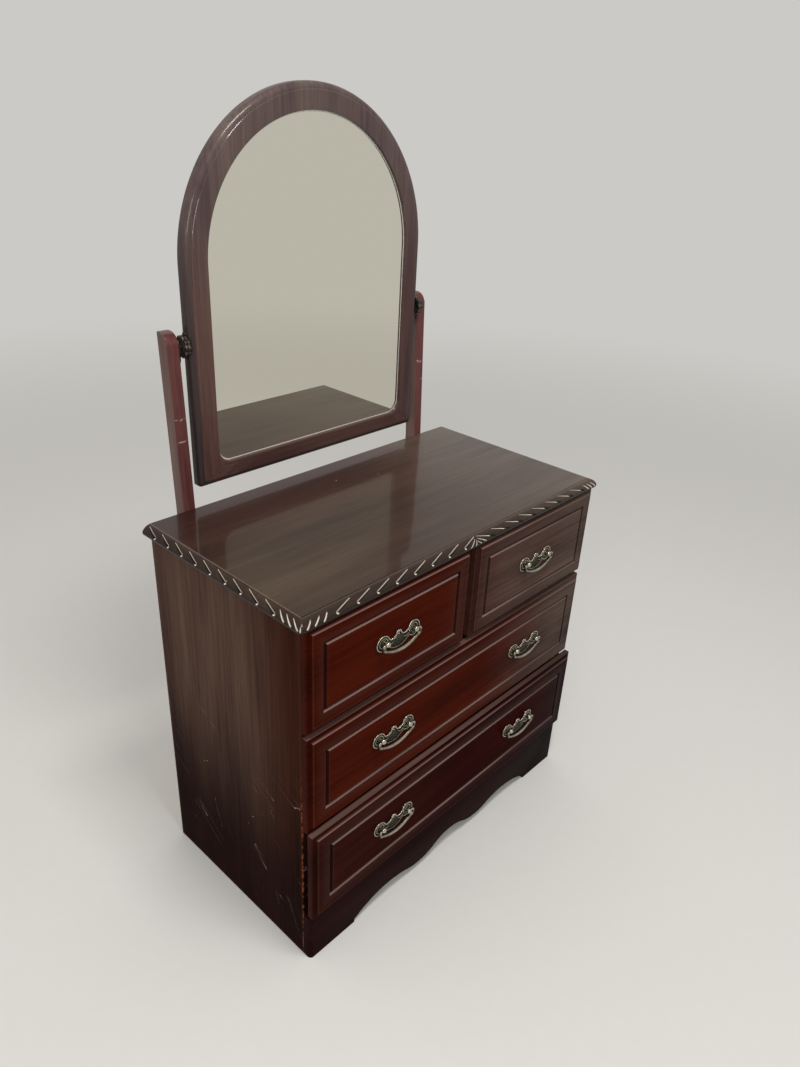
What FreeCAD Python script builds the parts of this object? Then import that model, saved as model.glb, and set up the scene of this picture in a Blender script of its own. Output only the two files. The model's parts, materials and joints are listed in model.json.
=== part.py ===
import FreeCAD, Part
import math
import os
import re
import Sketcher
from FreeCAD import Placement, Rotation, Vector

# Chest of drawers with a tilting arched mirror. Millimetres, +Z up, front towards -Y,
# origin on the floor under the middle of the whole piece.

SIZES = {
    # Carcass
    "carcass_width": 736,
    "carcass_depth": 376,
    "carcass_front": -180.85,
    "chest_height": 700,
    "side_thick": 16,
    "panel_thick": 16,
    "back_thick": 4,
    "back_bottom": 40,
    "back_inset": 3,
    "rail_depth": 60,
    "rail_drop": 2,
    "rear_rail_height": 80,
    "top_thick": 18,
    "top_side_overhang": 12,
    "top_front_overhang": 16,
    "moulding_width": 14.5,
    "top_corner_radius": 7,
    # Rope carving along the front and the sides of the top
    "front_gouge_start": 46,
    "front_gouge_pitch": 40.5,
    "front_gouge_run": 36,
    "side_gouge_start": 4,
    "side_gouge_pitch": 37.5,
    "side_gouge_run": 31,
    "gouge_radius": 3.4,
    "gouge_drop": 11.5,
    "nick_start": 12,
    "nick_pitch": 15,
    "nick_run": 12,
    "fan_reach": 16,
    # Plinth
    "plinth_height": 100,
    "plinth_thick": 17,
    "plinth_corner": 8,
    "foot_width": 106,
    "foot_step": 7,
    "arch_place": 180,
    "arch_height": 30,
    "arch_end": 118,
    "arch_end_height": 20.5,
    "valley_place": 84,
    "valley_height": 16.5,
    "valley_end": 48,
    "valley_end_height": 25,
    "centre_height": 38,
    "block_size": 22,
    "block_lift": 8,
    # Drawers: three rows of equal fronts that overlay the carcass
    "row_pitch": 192,
    "first_front_bottom": 107,
    "front_height": 188.5,
    "front_thick": 16,
    "lip_thick": 11,
    "lip_inset": 9,
    "lip_round": 1.2,
    "cove_stop": 0.6,
    "front_side_gap": 0.5,
    "stile_gap": 7.5,
    "buffer_gap": 0.5,
    "groove_inset": 29,
    "groove_width": 7,
    "groove_floor": 2.4,
    "groove_depth": 2.6,
    "lowest_drawer_ajar": 11,
    "box_height": 150,
    "box_lift": 14,
    "box_depth": 336,
    "box_side_thick": 14,
    "box_side_gap": 3.5,
    "box_back_thick": 12,
    "bottom_thick": 4,
    "bottom_lift": 9,
    "bottom_seat": 5,
    "runner_lift": 81,
    "runner_height": 16,
    "runner_reach": 10,
    "runner_length": 330,
    "runner_play": 0.4,
    "runner_set_back": 6,
    # Handles: a cast plate with two bail posts, and a bail that swings from them. Levels are
    # measured from the line of the pins.
    "handle_offset": 184,
    "handle_lift": 106.5,
    "post_spacing": 64,
    "lobe_radius": 14.2,
    "lobe_offset": 34.3,
    "lobe_drop": 2,
    "web_sag": 18.5,
    "dip_place": 14,
    "dip_drop": 0.8,
    "crown_rise": 10,
    "crown_height": 6.4,
    "crown_half": 6.5,
    "plate_thick": 2.6,
    "pin_reach": 9.5,
    "post_neck": 3.4,
    "post_ball": 4.8,
    "pin_radius": 1.6,
    "bore_radius": 1.65,
    "pin_depth": 2.5,
    "bail_half": 38.5,
    "bail_curl": 3,
    "bail_arm": 7.5,
    "bail_heel": 2.5,
    "bail_drop": 21.5,
    "bail_mid_radius": 3.5,
    "bail_end_radius": 2.2,
    # Mirror posts, standing against the back of the chest
    "post_inner": 277,
    "post_width": 22,
    "post_depth": 26,
    "post_bottom": 440,
    "post_top": 998,
    "post_lean": 12,
    "post_shoulder": 20,
    "post_chamfer": 3,
    # Mirror: arched frame with a glass and a backing board in its rebate
    "mirror_set_back": 379,
    "mirror_bottom": 732,
    "mirror_half": 263,
    "spring_height": 1093,
    "frame_bar": 41,
    "frame_bottom_bar": 36,
    "frame_thick": 22,
    "face_raise": 1,
    "edge_round": 10,
    "opening_corner": 25,
    "rebate_width": 8,
    "frame_lip": 6,
    "glass_thick": 4,
    "glass_play": 0.5,
    "board_thick": 3,
    # Mirror movements, one each side
    "pivot_set_back": 392,
    "pivot_height": 975,
    "rosette_radius": 18,
    "rosette_tooth": 2.2,
    "rosette_thick": 4.8,
    "movement_plate": 2,
    "base_plate_front": 0.4,
    "base_plate_width": 20,
    "base_plate_drop": 30,
    "base_plate_height": 42,
    "arm_plate_front": 2,
    "arm_plate_width": 10,
    "arm_plate_height": 44,
    "movement_gap": 0.4,
    "movement_pin": 3,
    "movement_bore": 3.05,
    "movement_end": 0.6,
}

doc = FreeCAD.newDocument("DresserWithMirror")
sheet = doc.addObject("Spreadsheet::Sheet", "Sizes")
for row, (alias, number) in enumerate(SIZES.items(), start=1):
    sheet.set(f"A{row}", alias)
    sheet.set(f"B{row}", str(number))
    sheet.setAlias(f"B{row}", alias)
doc.recompute()

nodes = {}


def size(alias):
    return float(sheet.get(alias))


def cells(formula):
    # Puts the sheet's name in front of each alias in a formula.
    return re.sub(r"[a-z_]*[a-z]", lambda word: "Sizes." + word.group(0), str(formula))


def bind(thing, prop, formula):
    thing.setExpression(prop, cells(formula))


def place(thing, x, y, z):
    for axis, formula in zip("xyz", (x, y, z)):
        bind(thing, f".Placement.Base.{axis}", formula)


def keep(node, thing):
    thing.Label = node
    nodes[node] = thing
    return thing


# Plain boards, holes and compounds


def board(name, corner, extent):
    box = doc.addObject("Part::Box", name)
    for prop, formula in zip(("Length", "Width", "Height"), extent):
        bind(box, prop, formula)
    place(box, *corner)
    return box


def rod(name, radius, length, base, direction):
    cylinder = doc.addObject("Part::Cylinder", name)
    bind(cylinder, "Radius", radius)
    bind(cylinder, "Height", length)
    cylinder.Placement = Placement(Vector(), Rotation(Vector(0, 0, 1), direction))
    place(cylinder, *base)
    return cylinder


def cut(name, base, tools):
    result = base
    for count, tool in enumerate(tools):
        step = doc.addObject("Part::Cut", f"{name}_cut_{count}")
        step.Base = result
        step.Tool = tool
        result = step
    return result


def fuse(name, parts):
    joined = doc.addObject("Part::MultiFuse", name)
    joined.Shapes = parts
    return joined


def group(name, parts):
    joined = doc.addObject("Part::Compound", name)
    joined.Links = parts
    return joined


# Sketches and solids of PartDesign bodies


def plane(body, role):
    return next(feature for feature in body.Origin.OriginFeatures if feature.Role == role)


def new_sketch(body, name, role="XZ_Plane", offset="0"):
    sketch = body.newObject("Sketcher::SketchObject", name)
    sketch.AttachmentSupport = (plane(body, role), "")
    sketch.MapMode = "FlatFace"
    bind(sketch, ".AttachmentOffset.Base.z", offset)
    return sketch


def rectangle(sketch, left, right, bottom, top):
    first = sketch.GeometryCount
    corners = [Vector(-10, -10, 0), Vector(10, -10, 0), Vector(10, 10, 0), Vector(-10, 10, 0)]
    for count in range(4):
        sketch.addGeometry(Part.LineSegment(corners[count], corners[(count + 1) % 4]))
    for count in range(4):
        following = first + (count + 1) % 4
        sketch.addConstraint(Sketcher.Constraint("Coincident", first + count, 2, following, 1))
    for count in (0, 2):
        sketch.addConstraint(Sketcher.Constraint("Horizontal", first + count))
        sketch.addConstraint(Sketcher.Constraint("Vertical", first + count + 1))
    for kind, line, start, formula in (
        ("DistanceX", 3, -10, left),
        ("DistanceX", 1, 10, right),
        ("DistanceY", 0, -10, bottom),
        ("DistanceY", 2, 10, top),
    ):
        index = sketch.addConstraint(Sketcher.Constraint(kind, -1, 1, first + line, 1, start))
        bind(sketch, f"Constraints[{index}]", formula)


def closed_path(sketch, pieces):
    # Lines and arcs that already meet end to end, tied into one wire.
    first = sketch.GeometryCount
    for piece in pieces:
        sketch.addGeometry(piece)
    pairs = [(near, far) for near in (1, 2) for far in (1, 2)]
    for count in range(len(pieces)):
        here = first + count
        there = first + (count + 1) % len(pieces)

        def gap(ends):
            return sketch.getPoint(here, ends[0]).distanceToPoint(sketch.getPoint(there, ends[1]))

        near, far = min(pairs, key=gap)
        sketch.addConstraint(Sketcher.Constraint("Coincident", here, near, there, far))


def arch(sketch, half, bottom, spring):
    # A straight-sided outline with a half-round top, centred on x = 0.
    wide = size("mirror_half")
    low = size("mirror_bottom")
    high = size("spring_height")
    top = Part.ArcOfCircle(Part.Circle(Vector(0, high, 0), Vector(0, 0, 1), wide), 0, math.pi)
    sketch.addGeometry(top)
    sketch.addGeometry(Part.LineSegment(Vector(-wide, high, 0), Vector(-wide, low, 0)))
    sketch.addGeometry(Part.LineSegment(Vector(-wide, low, 0), Vector(wide, low, 0)))
    sketch.addGeometry(Part.LineSegment(Vector(wide, low, 0), Vector(wide, high, 0)))
    for count in range(4):
        sketch.addConstraint(Sketcher.Constraint("Coincident", count, 2, (count + 1) % 4, 1))
    for end in (1, 2):
        sketch.addConstraint(Sketcher.Constraint("Horizontal", 0, end, 0, 3))
    for side in (1, 3):
        sketch.addConstraint(Sketcher.Constraint("Vertical", side))
    sketch.addConstraint(Sketcher.Constraint("Horizontal", 2))
    sketch.addConstraint(Sketcher.Constraint("PointOnObject", 0, 3, -2))
    radius = sketch.addConstraint(Sketcher.Constraint("Radius", 0, wide))
    bind(sketch, f"Constraints[{radius}]", half)
    height = sketch.addConstraint(Sketcher.Constraint("DistanceY", -1, 1, 0, 3, high))
    bind(sketch, f"Constraints[{height}]", spring)
    foot = sketch.addConstraint(Sketcher.Constraint("DistanceY", -1, 1, 2, 1, low))
    bind(sketch, f"Constraints[{foot}]", bottom)


def pad(body, name, sketch, length, back=False):
    # Pads from an XZ sketch grow towards -Y, or towards +Y with back=True.
    feature = body.newObject("PartDesign::Pad", name)
    feature.Profile = sketch
    bind(feature, "Length", length)
    feature.Reversed = back
    return feature


def pocket(body, name, sketch, depth, back=True):
    # Pockets from an XZ sketch go towards +Y, or towards -Y with back=False.
    feature = body.newObject("PartDesign::Pocket", name)
    feature.Profile = sketch
    bind(feature, "Length", depth)
    feature.Reversed = not back
    return feature


def edge_names(shape, test):
    return [f"Edge{index}" for index, edge in enumerate(shape.Edges, start=1) if test(edge)]


def dress(body, kind, name, base, prop, amount, test):
    # Rounds or bevels the edges of the base feature that pass the test.
    doc.recompute()
    feature = body.newObject(f"PartDesign::{kind}", name)
    feature.Base = (base, edge_names(base.Shape, test))
    bind(feature, prop, amount)
    return feature


def skin(rings, flat):
    # A closed solid over a row of rings with equal numbers of corners. Its sides are
    # flat four-sided faces, or pairs of triangles where the rings taper along a curve.
    faces = [rings[0], rings[-1]]
    corners = len(rings[0])
    for near, far in zip(rings, rings[1:]):
        for count in range(corners):
            following = (count + 1) % corners
            quad = [near[count], near[following], far[following], far[count]]
            faces += [quad] if flat else [quad[:3], [quad[0], quad[2], quad[3]]]
    shell = Part.makeShell([Part.Face(Part.makePolygon(face + face[:1])) for face in faces])
    return Part.makeSolid(shell)


def ring(centre, along, radius, corners):
    # Corners of a regular polygon round a centre, square to the direction along.
    across = along.cross(Vector(0, 0, 1)) if abs(along.z) < 0.9 * along.Length else Vector(0, 1, 0)
    across.normalize()
    up = across.cross(along)
    up.normalize()
    turns = [2 * math.pi * (count + 0.5) / corners for count in range(corners)]
    return [centre + across * (radius * math.cos(turn)) + up * (radius * math.sin(turn)) for turn in turns]


# Top board with a moulded, rope-carved edge


def moulding_section():
    # Stands at the rear of the left side: x is outwards (-X of the chest), y is up.
    width = size("moulding_width")
    thick = size("top_thick")
    profile = [(0, 0), (0, 0.95), (0.4, 0.88), (0.8, 0.66), (1, 0.4), (0.93, 0.14), (0.7, 0)]
    points = [Vector(out * width, up * thick, 0) for out, up in profile]
    sketch = doc.addObject("Sketcher::SketchObject", "moulding_section")
    closed_path(sketch, [Part.LineSegment(*pair) for pair in zip(points, points[1:] + points[:1])])
    return sketch


def top_board():
    half = size("carcass_width") / 2 + size("top_side_overhang") - size("moulding_width")
    front = size("carcass_front") - size("top_front_overhang") + size("moulding_width")
    back = size("carcass_front") + size("carcass_depth") + size("back_thick")
    low = size("chest_height") - size("top_thick")
    path = doc.addObject("Part::Feature", "moulding_path")
    path.Shape = Part.makePolygon([
        Vector(-half, back, low),
        Vector(-half, front, low),
        Vector(half, front, low),
        Vector(half, back, low),
    ])
    section = moulding_section()
    upright = Rotation(Vector(-1, 0, 0), Vector(0, 0, 1), Vector(0, 1, 0), "XYZ")
    section.Placement = Placement(Vector(-half, back, low), upright)
    moulding = doc.addObject("Part::Sweep", "top_moulding")
    moulding.Sections = [section]
    moulding.Spine = (path, ["Edge1", "Edge2", "Edge3"])
    moulding.Solid = True
    moulding.Transition = "Right corner"
    core = board(
        "top_core",
        ("-carcass_width / 2 - top_side_overhang + moulding_width",
         "carcass_front - top_front_overhang + moulding_width",
         "chest_height - top_thick"),
        ("carcass_width + 2 * top_side_overhang - 2 * moulding_width",
         "carcass_depth + back_thick + top_front_overhang - moulding_width",
         "top_thick"),
    )
    carved = cut("carved_top", fuse("top_blank", [core, moulding]), [rope_carving()])
    rounded = doc.addObject("Part::Common", "top_board")
    rounded.Base = carved
    rounded.Tool = rounded_plan()
    keep("top_board", rounded)


def rounded_plan():
    # The plan of the top, with its two front corners rounded.
    blank = board(
        "top_plan_blank",
        ("-carcass_width / 2 - top_side_overhang", "carcass_front - top_front_overhang", "chest_height - 20"),
        ("carcass_width + 2 * top_side_overhang", "carcass_depth + back_thick + top_front_overhang", "25"),
    )
    doc.recompute()
    front = blank.Shape.BoundBox.YMin
    corners = [
        index for index, edge in enumerate(blank.Shape.Edges, start=1)
        if edge.BoundBox.ZLength > 1 and edge.CenterOfMass.y < front + 1
    ]
    rounding = doc.addObject("Part::Fillet", "top_plan")
    rounding.Base = blank
    radius = size("top_corner_radius")
    rounding.Edges = [(index, radius, radius) for index in corners]
    return rounding


def gouge(tip, end, radius):
    # One cut of a carver's gouge: it starts as a point, widens and ends blunt and deep.
    along = end - tip
    blunt = end + along * (0.7 * radius / along.Length)
    rings = [ring(tip, along, 0.3, 6), ring(end, along, radius, 6), ring(blunt, along, 0.4 * radius, 6)]
    return skin(rings, flat=True)


def edge_gouges(length, edge, to_edge):
    # Gouges of one half edge, front or side. Places run from 0 at the middle of the front
    # or the rear end of the side to the corner; to_edge turns (place, outwards, up) into a
    # point. Three close nicks end each run at the corner.
    tools = []
    radius = size("gouge_radius")
    width = size("moulding_width")
    top = size("chest_height")
    low = top - size("gouge_drop")
    run = size(f"{edge}_gouge_run")
    nick_ends = [length - size("nick_start") - count * size("nick_pitch") for count in range(3)]
    start = size(f"{edge}_gouge_start")
    while start + run < nick_ends[-1] - size("nick_run"):
        tools.append(gouge(to_edge(start, -0.5, top + 0.6), to_edge(start + run, width - 0.6, low), radius))
        start += size(f"{edge}_gouge_pitch")
    for end in nick_ends:
        tip = to_edge(end - size("nick_run"), 1, top + 0.4)
        tools.append(gouge(tip, to_edge(end, width, low), radius * 0.6))
    return tools


def fan_gouges(to_edge):
    # The shell in the middle of the front: short cuts that spread from one point.
    tools = []
    width = size("moulding_width")
    top = size("chest_height")
    for side in (-1, 1):
        for start, spread, drop in ((1, 0.5, 13.5), (3, 1.5, 12.5), (9, 2.75, 11)):
            tip = to_edge(side * start, 0.5, top + 0.3)
            end = to_edge(side * size("fan_reach") * spread, width, top - drop)
            tools.append(gouge(tip, end, size("gouge_radius") * 0.62))
    return tools


def rope_carving():
    half = size("carcass_width") / 2 + size("top_side_overhang")
    front = size("carcass_front") - size("top_front_overhang")
    back = size("carcass_front") + size("carcass_depth") + size("back_thick")
    inset = size("moulding_width")
    tools = fan_gouges(lambda along, out, up: Vector(along, front + inset - out, up))
    for side in (-1, 1):
        tools += edge_gouges(half, "front", lambda along, out, up: Vector(
            side * along, front + inset - out, up))
        tools += edge_gouges(back - front, "side", lambda along, out, up: Vector(
            side * (half - inset + out), back - along, up))
    carving = doc.addObject("Part::Feature", "rope_carving")
    carving.Shape = Part.makeCompound(tools)
    return carving


# Carcass boards


def carcass():
    inside = "carcass_width - 2 * side_thick"
    left = "-carcass_width / 2 + side_thick"
    under_top = "chest_height - top_thick"
    shelf = "first_front_bottom + 2 * row_pitch - rail_drop - panel_thick"
    above_shelf = f"({shelf} + panel_thick)"
    for side, x in (("left", "-carcass_width / 2"), ("right", "carcass_width / 2 - side_thick")):
        node = f"side_panel_{side}"
        keep(node, board(node, (x, "carcass_front", "0"), ("side_thick", "carcass_depth", under_top)))
    for node, corner, extent in (
        ("back_panel",
         ("-carcass_width / 2 + back_inset", "carcass_front + carcass_depth", "back_bottom"),
         ("carcass_width - 2 * back_inset", "back_thick", f"{under_top} - back_bottom")),
        ("base_board",
         (left, "carcass_front", "plinth_height - panel_thick"),
         (inside, "carcass_depth", "panel_thick")),
        ("divider_shelf",
         (left, "carcass_front", shelf),
         (inside, "carcass_depth", "panel_thick")),
        ("lower_rail",
         (left, "carcass_front", "first_front_bottom + row_pitch - rail_drop - panel_thick"),
         (inside, "rail_depth", "panel_thick")),
        ("top_front_rail",
         (left, "carcass_front", f"{under_top} - panel_thick"),
         (inside, "rail_depth", "panel_thick")),
        ("top_rear_rail",
         (left, "carcass_front + carcass_depth - panel_thick", f"{under_top} - rear_rail_height"),
         (inside, "panel_thick", "rear_rail_height")),
        ("centre_divider",
         ("-panel_thick / 2", "carcass_front", above_shelf),
         ("panel_thick", "carcass_depth - panel_thick", f"{under_top} - panel_thick - {above_shelf}")),
        ("rear_stretcher",
         (left, "carcass_front + carcass_depth - panel_thick", "0"),
         (inside, "panel_thick", "plinth_height - panel_thick")),
    ):
        keep(node, board(node, corner, extent))


def plinth_arcs(side):
    # The scalloped lower edge of one half: an arch, a valley, and the rise to the middle.
    foot = size("carcass_width") / 2 - size("front_side_gap") - size("foot_width")

    def point(across, up):
        return Vector(side * across, up, 0)

    arch_end = point(size("arch_end"), size("arch_end_height"))
    valley_end = point(size("valley_end"), size("valley_end_height"))
    return [
        Part.Arc(point(foot, size("foot_step")), point(size("arch_place"), size("arch_height")), arch_end),
        Part.Arc(arch_end, point(size("valley_place"), size("valley_height")), valley_end),
    ]


def plinth():
    half = size("carcass_width") / 2 - size("front_side_gap")
    high = size("plinth_height")
    body = doc.addObject("PartDesign::Body", "plinth_front")
    outline = new_sketch(body, "plinth_outline")
    foot = half - size("foot_width")
    step = size("foot_step")
    right = plinth_arcs(1)
    left = plinth_arcs(-1)
    end = size("valley_end")
    rise = size("valley_end_height")
    middle = Part.Arc(Vector(end, rise, 0), Vector(0, size("centre_height"), 0), Vector(-end, rise, 0))
    closed_path(outline, [
        *right,
        middle,
        *reversed(left),
        Part.LineSegment(Vector(-foot, step, 0), Vector(-foot, 0, 0)),
        Part.LineSegment(Vector(-foot, 0, 0), Vector(-half, 0, 0)),
        Part.LineSegment(Vector(-half, 0, 0), Vector(-half, high, 0)),
        Part.LineSegment(Vector(-half, high, 0), Vector(half, high, 0)),
        Part.LineSegment(Vector(half, high, 0), Vector(half, 0, 0)),
        Part.LineSegment(Vector(half, 0, 0), Vector(foot, 0, 0)),
        Part.LineSegment(Vector(foot, 0, 0), Vector(foot, step, 0)),
    ])
    blank = pad(body, "plinth_blank", outline, "plinth_thick")
    thick = size("plinth_thick")
    dress(body, "Fillet", "plinth_corners", blank, "Radius", "plinth_corner",
          lambda edge: edge.BoundBox.ZLength > high - 1 and edge.CenterOfMass.y < 1 - thick)
    place(body, "0", "carcass_front", "0")
    keep("plinth_front", body)
    middle_low = "plinth_height - panel_thick - block_size"
    blocks = []
    for name, x, low in (
        ("plinth_block_left", "-carcass_width / 2 + side_thick", "block_lift"),
        ("plinth_block_right", "carcass_width / 2 - side_thick - block_size", "block_lift"),
        ("plinth_block_middle", "-block_size / 2", middle_low),
    ):
        tall = f"plinth_height - panel_thick - ({low})"
        blocks.append(board(name, (x, "carcass_front", low), ("block_size", "block_size", tall)))
    keep("plinth_blocks", group("plinth_blocks", blocks))


def row_bottom(row):
    return f"first_front_bottom + {row} * row_pitch"


def runners():
    parts = []
    inner = "carcass_width / 2 - side_thick"
    places = [(f"-{inner.replace('-', '+')}", row) for row in range(3)]
    places += [(f"{inner} - runner_reach", row) for row in range(3)]
    places += [("-panel_thick / 2 - runner_reach", 2), ("panel_thick / 2", 2)]
    for x, row in places:
        corner = (x, "carcass_front + runner_set_back", f"{row_bottom(row)} + runner_lift")
        parts.append(board("drawer_runner", corner, ("runner_reach", "runner_length", "runner_height")))
    keep("drawer_runners", group("drawer_runners", parts))


# Drawers


def drawer_front(node, width, x, y, z):
    # Modelled about the middle of its back face, with the lower edge at z = 0.
    body = doc.addObject("PartDesign::Body", node)
    half = f"({width}) / 2"
    lip = new_sketch(body, "lip")
    rectangle(lip, f"-{half}", half, "0", "front_height")
    lip_pad = pad(body, "lip_board", lip, "lip_thick")
    field = new_sketch(body, "field", offset="lip_thick")
    rectangle(field, f"-{half} + lip_inset", f"{half} - lip_inset", "lip_inset", "front_height - lip_inset")
    field_pad = pad(body, "raised_field", field, "front_thick - lip_thick")
    doc.recompute()
    step = size("lip_thick")
    inset = size("lip_inset")
    high = size("front_height")
    reach = field_pad.Shape.BoundBox.XMax - inset

    def at_step(edge):
        box = edge.BoundBox
        level = abs(box.YMin + step) < 0.01 and abs(box.YMax + step) < 0.01
        across = abs(box.XMax) < reach + 0.1 and abs(box.XMin) < reach + 0.1
        return level and across and box.ZMin > inset - 0.1 and box.ZMax < high - inset + 0.1

    cove = dress(body, "Fillet", "cove", field_pad, "Radius", "front_thick - lip_thick - cove_stop", at_step)

    def lip_edge(edge):
        box = edge.BoundBox
        flat = abs(box.YMin + step) < 0.01 and abs(box.YMax + step) < 0.01
        outer = box.ZMax > high - 0.1 or box.ZMin < 0.1 or abs(edge.CenterOfMass.x) > reach + inset - 0.1
        return flat and outer

    eased = dress(body, "Fillet", "eased_lip", cove, "Radius", "lip_round", lip_edge)
    path = new_sketch(body, "groove_path", offset="front_thick")
    rectangle(path, f"-{half} + lip_inset + groove_inset", f"{half} - lip_inset - groove_inset",
              "lip_inset + groove_inset", "front_height - lip_inset - groove_inset")
    section = new_sketch(body, "groove_section", role="YZ_Plane")
    groove_profile(section)
    doc.recompute()
    groove = body.newObject("PartDesign::SubtractivePipe", "routed_groove")
    groove.Profile = section
    groove.Spine = (path, ["Edge1", "Edge2", "Edge3", "Edge4"])
    groove.Transition = "Right corner"
    place(body, x, y, z)
    doc.recompute()
    if not groove.Shape.Volume < eased.Shape.Volume:
        raise RuntimeError(f"{node}: the groove cuts nothing")
    return keep(node, body)


def groove_profile(sketch):
    # A shallow trapezium, as a round-nosed cutter leaves, lying across the path's lower run.
    middle = size("lip_inset") + size("groove_inset")
    face = -size("front_thick")
    mouth = size("groove_width") / 2
    floor = size("groove_floor") / 2
    deep = face + size("groove_depth")
    points = [
        Vector(face - 1, middle - mouth, 0), Vector(face, middle - mouth, 0), Vector(deep, middle - floor, 0),
        Vector(deep, middle + floor, 0), Vector(face, middle + mouth, 0), Vector(face - 1, middle + mouth, 0),
    ]
    closed_path(sketch, [
        Part.LineSegment(points[count], points[(count + 1) % len(points)]) for count in range(len(points))
    ])


def drawer_box(name, left, right, front, low):
    # Two grooved sides, a back and a thin bottom that sits in the grooves.
    side_height = "box_height"
    groove_low = "runner_lift - box_lift - runner_play"
    for side in ("left", "right"):
        x = left if side == "left" else f"{right} - box_side_thick"
        outside = x if side == "left" else f"{right} - runner_reach + box_side_gap - 0.5"
        inside = f"{left} + box_side_thick - bottom_seat" if side == "left" else f"{right} - box_side_thick"
        plank = board(f"{name}_plank", (x, front, low), ("box_side_thick", "box_depth", side_height))
        runner_groove = board(
            f"{name}_runner_groove",
            (outside, front, f"{low} + {groove_low}"),
            ("runner_reach - box_side_gap + 0.5", "box_depth", "runner_height + 2 * runner_play"))
        seat = board(f"{name}_seat", (inside, front, f"{low} + bottom_lift"),
                     ("bottom_seat", "box_depth", "bottom_thick"))
        node = f"{name}_side_{side}"
        keep(node, cut(node, plank, [runner_groove, seat]))
    span = f"{right} - ({left}) - 2 * box_side_thick"
    rear = f"{front} + box_depth - box_back_thick"
    keep(f"{name}_back", board(
        f"{name}_back",
        (f"{left} + box_side_thick", rear, f"{low} + bottom_lift + bottom_thick"),
        (span, "box_back_thick", f"{side_height} - bottom_lift - bottom_thick")))
    keep(f"{name}_bottom", board(
        f"{name}_bottom",
        (f"{left} + box_side_thick - bottom_seat", front, f"{low} + bottom_lift"),
        (f"{span} + 2 * bottom_seat", "box_depth", "bottom_thick")))


# Handles


def lobe_point(side, angle):
    # A point on the rim of a handle plate's round end.
    turn = math.radians(angle)
    radius = size("lobe_radius")
    across = size("lobe_offset") + radius * math.cos(turn)
    return Vector(side * across, radius * math.sin(turn) - size("lobe_drop"), 0)


def chords(start, middle, end, count):
    # Corners along an arc, without its last one.
    return Part.Arc(start, middle, end).toShape().discretize(Number=count + 1)[:-1]


def plate_corners():
    # Two round ends joined by a web: it sags below, and dips beside a crown above.
    crown = Vector(0, size("crown_rise"), 0)
    right = Vector(size("crown_half"), crown.y - size("crown_height"), 0)
    left = Vector(-right.x, right.y, 0)
    below, above = -134, 150
    dip = Vector(size("dip_place"), -size("dip_drop"), 0)
    corners = chords(lobe_point(-1, below), Vector(0, -size("web_sag"), 0), lobe_point(1, below), 8)
    corners += chords(lobe_point(1, below), lobe_point(1, 0), lobe_point(1, above), 14)
    corners += chords(lobe_point(1, above), dip, right, 4)
    corners += chords(right, crown, left, 6)
    corners += chords(left, Vector(-dip.x, dip.y, 0), lobe_point(-1, above), 4)
    corners += chords(lobe_point(-1, above), lobe_point(-1, 0), lobe_point(-1, below), 14)
    return corners


def handle_post(side):
    # A turned neck and ball, eight-sided, growing forwards out of the plate.
    neck = size("post_neck")
    ball = size("post_ball")
    pin = size("pin_reach")
    profile = [(1, neck), (pin - 0.8 * ball, neck), (pin - 0.4 * ball, ball), (pin + 0.4 * ball, ball),
               (pin + ball, 0.4 * ball)]
    centre = side * size("post_spacing") / 2
    forwards = Vector(0, -1, 0)
    rings = [ring(Vector(centre, -out, 0), forwards, radius, 8) for out, radius in profile]
    return skin(rings, flat=True)


def pin_bore(side):
    # Eight-sided like the pin, and wide enough across its flats for the pin to turn.
    corner = size("bore_radius") / math.cos(math.pi / 8)
    post = size("post_spacing") / 2
    level = -size("pin_reach")
    outwards = Vector(side, 0, 0)
    inner = ring(Vector(side * (post - size("pin_depth")), level, 0), outwards, corner, 8)
    outer = ring(Vector(side * (post + size("post_ball") + 1), level, 0), outwards, corner, 8)
    return skin([inner, outer], flat=True)


def handle_plate(name, x, y, z):
    # A cast plate with two posts, each bored from the outer side for a pin of the bail.
    body = doc.addObject("PartDesign::Body", f"{name}_sheet")
    outline = new_sketch(body, "plate_outline")
    corners = plate_corners()
    closed_path(outline, [Part.LineSegment(*pair) for pair in zip(corners, corners[1:] + corners[:1])])
    pad(body, "plate", outline, "plate_thick")
    place(body, x, y, z)
    posts = doc.addObject("Part::Feature", f"{name}_posts")
    posts.Shape = Part.makeCompound([handle_post(side) for side in (-1, 1)])
    place(posts, x, y, z)
    bores = doc.addObject("Part::Feature", f"{name}_bores")
    bores.Shape = Part.makeCompound([pin_bore(side) for side in (-1, 1)])
    place(bores, x, y, z)
    return cut(name, fuse(f"{name}_casting", [body, posts]), [bores])


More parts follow.
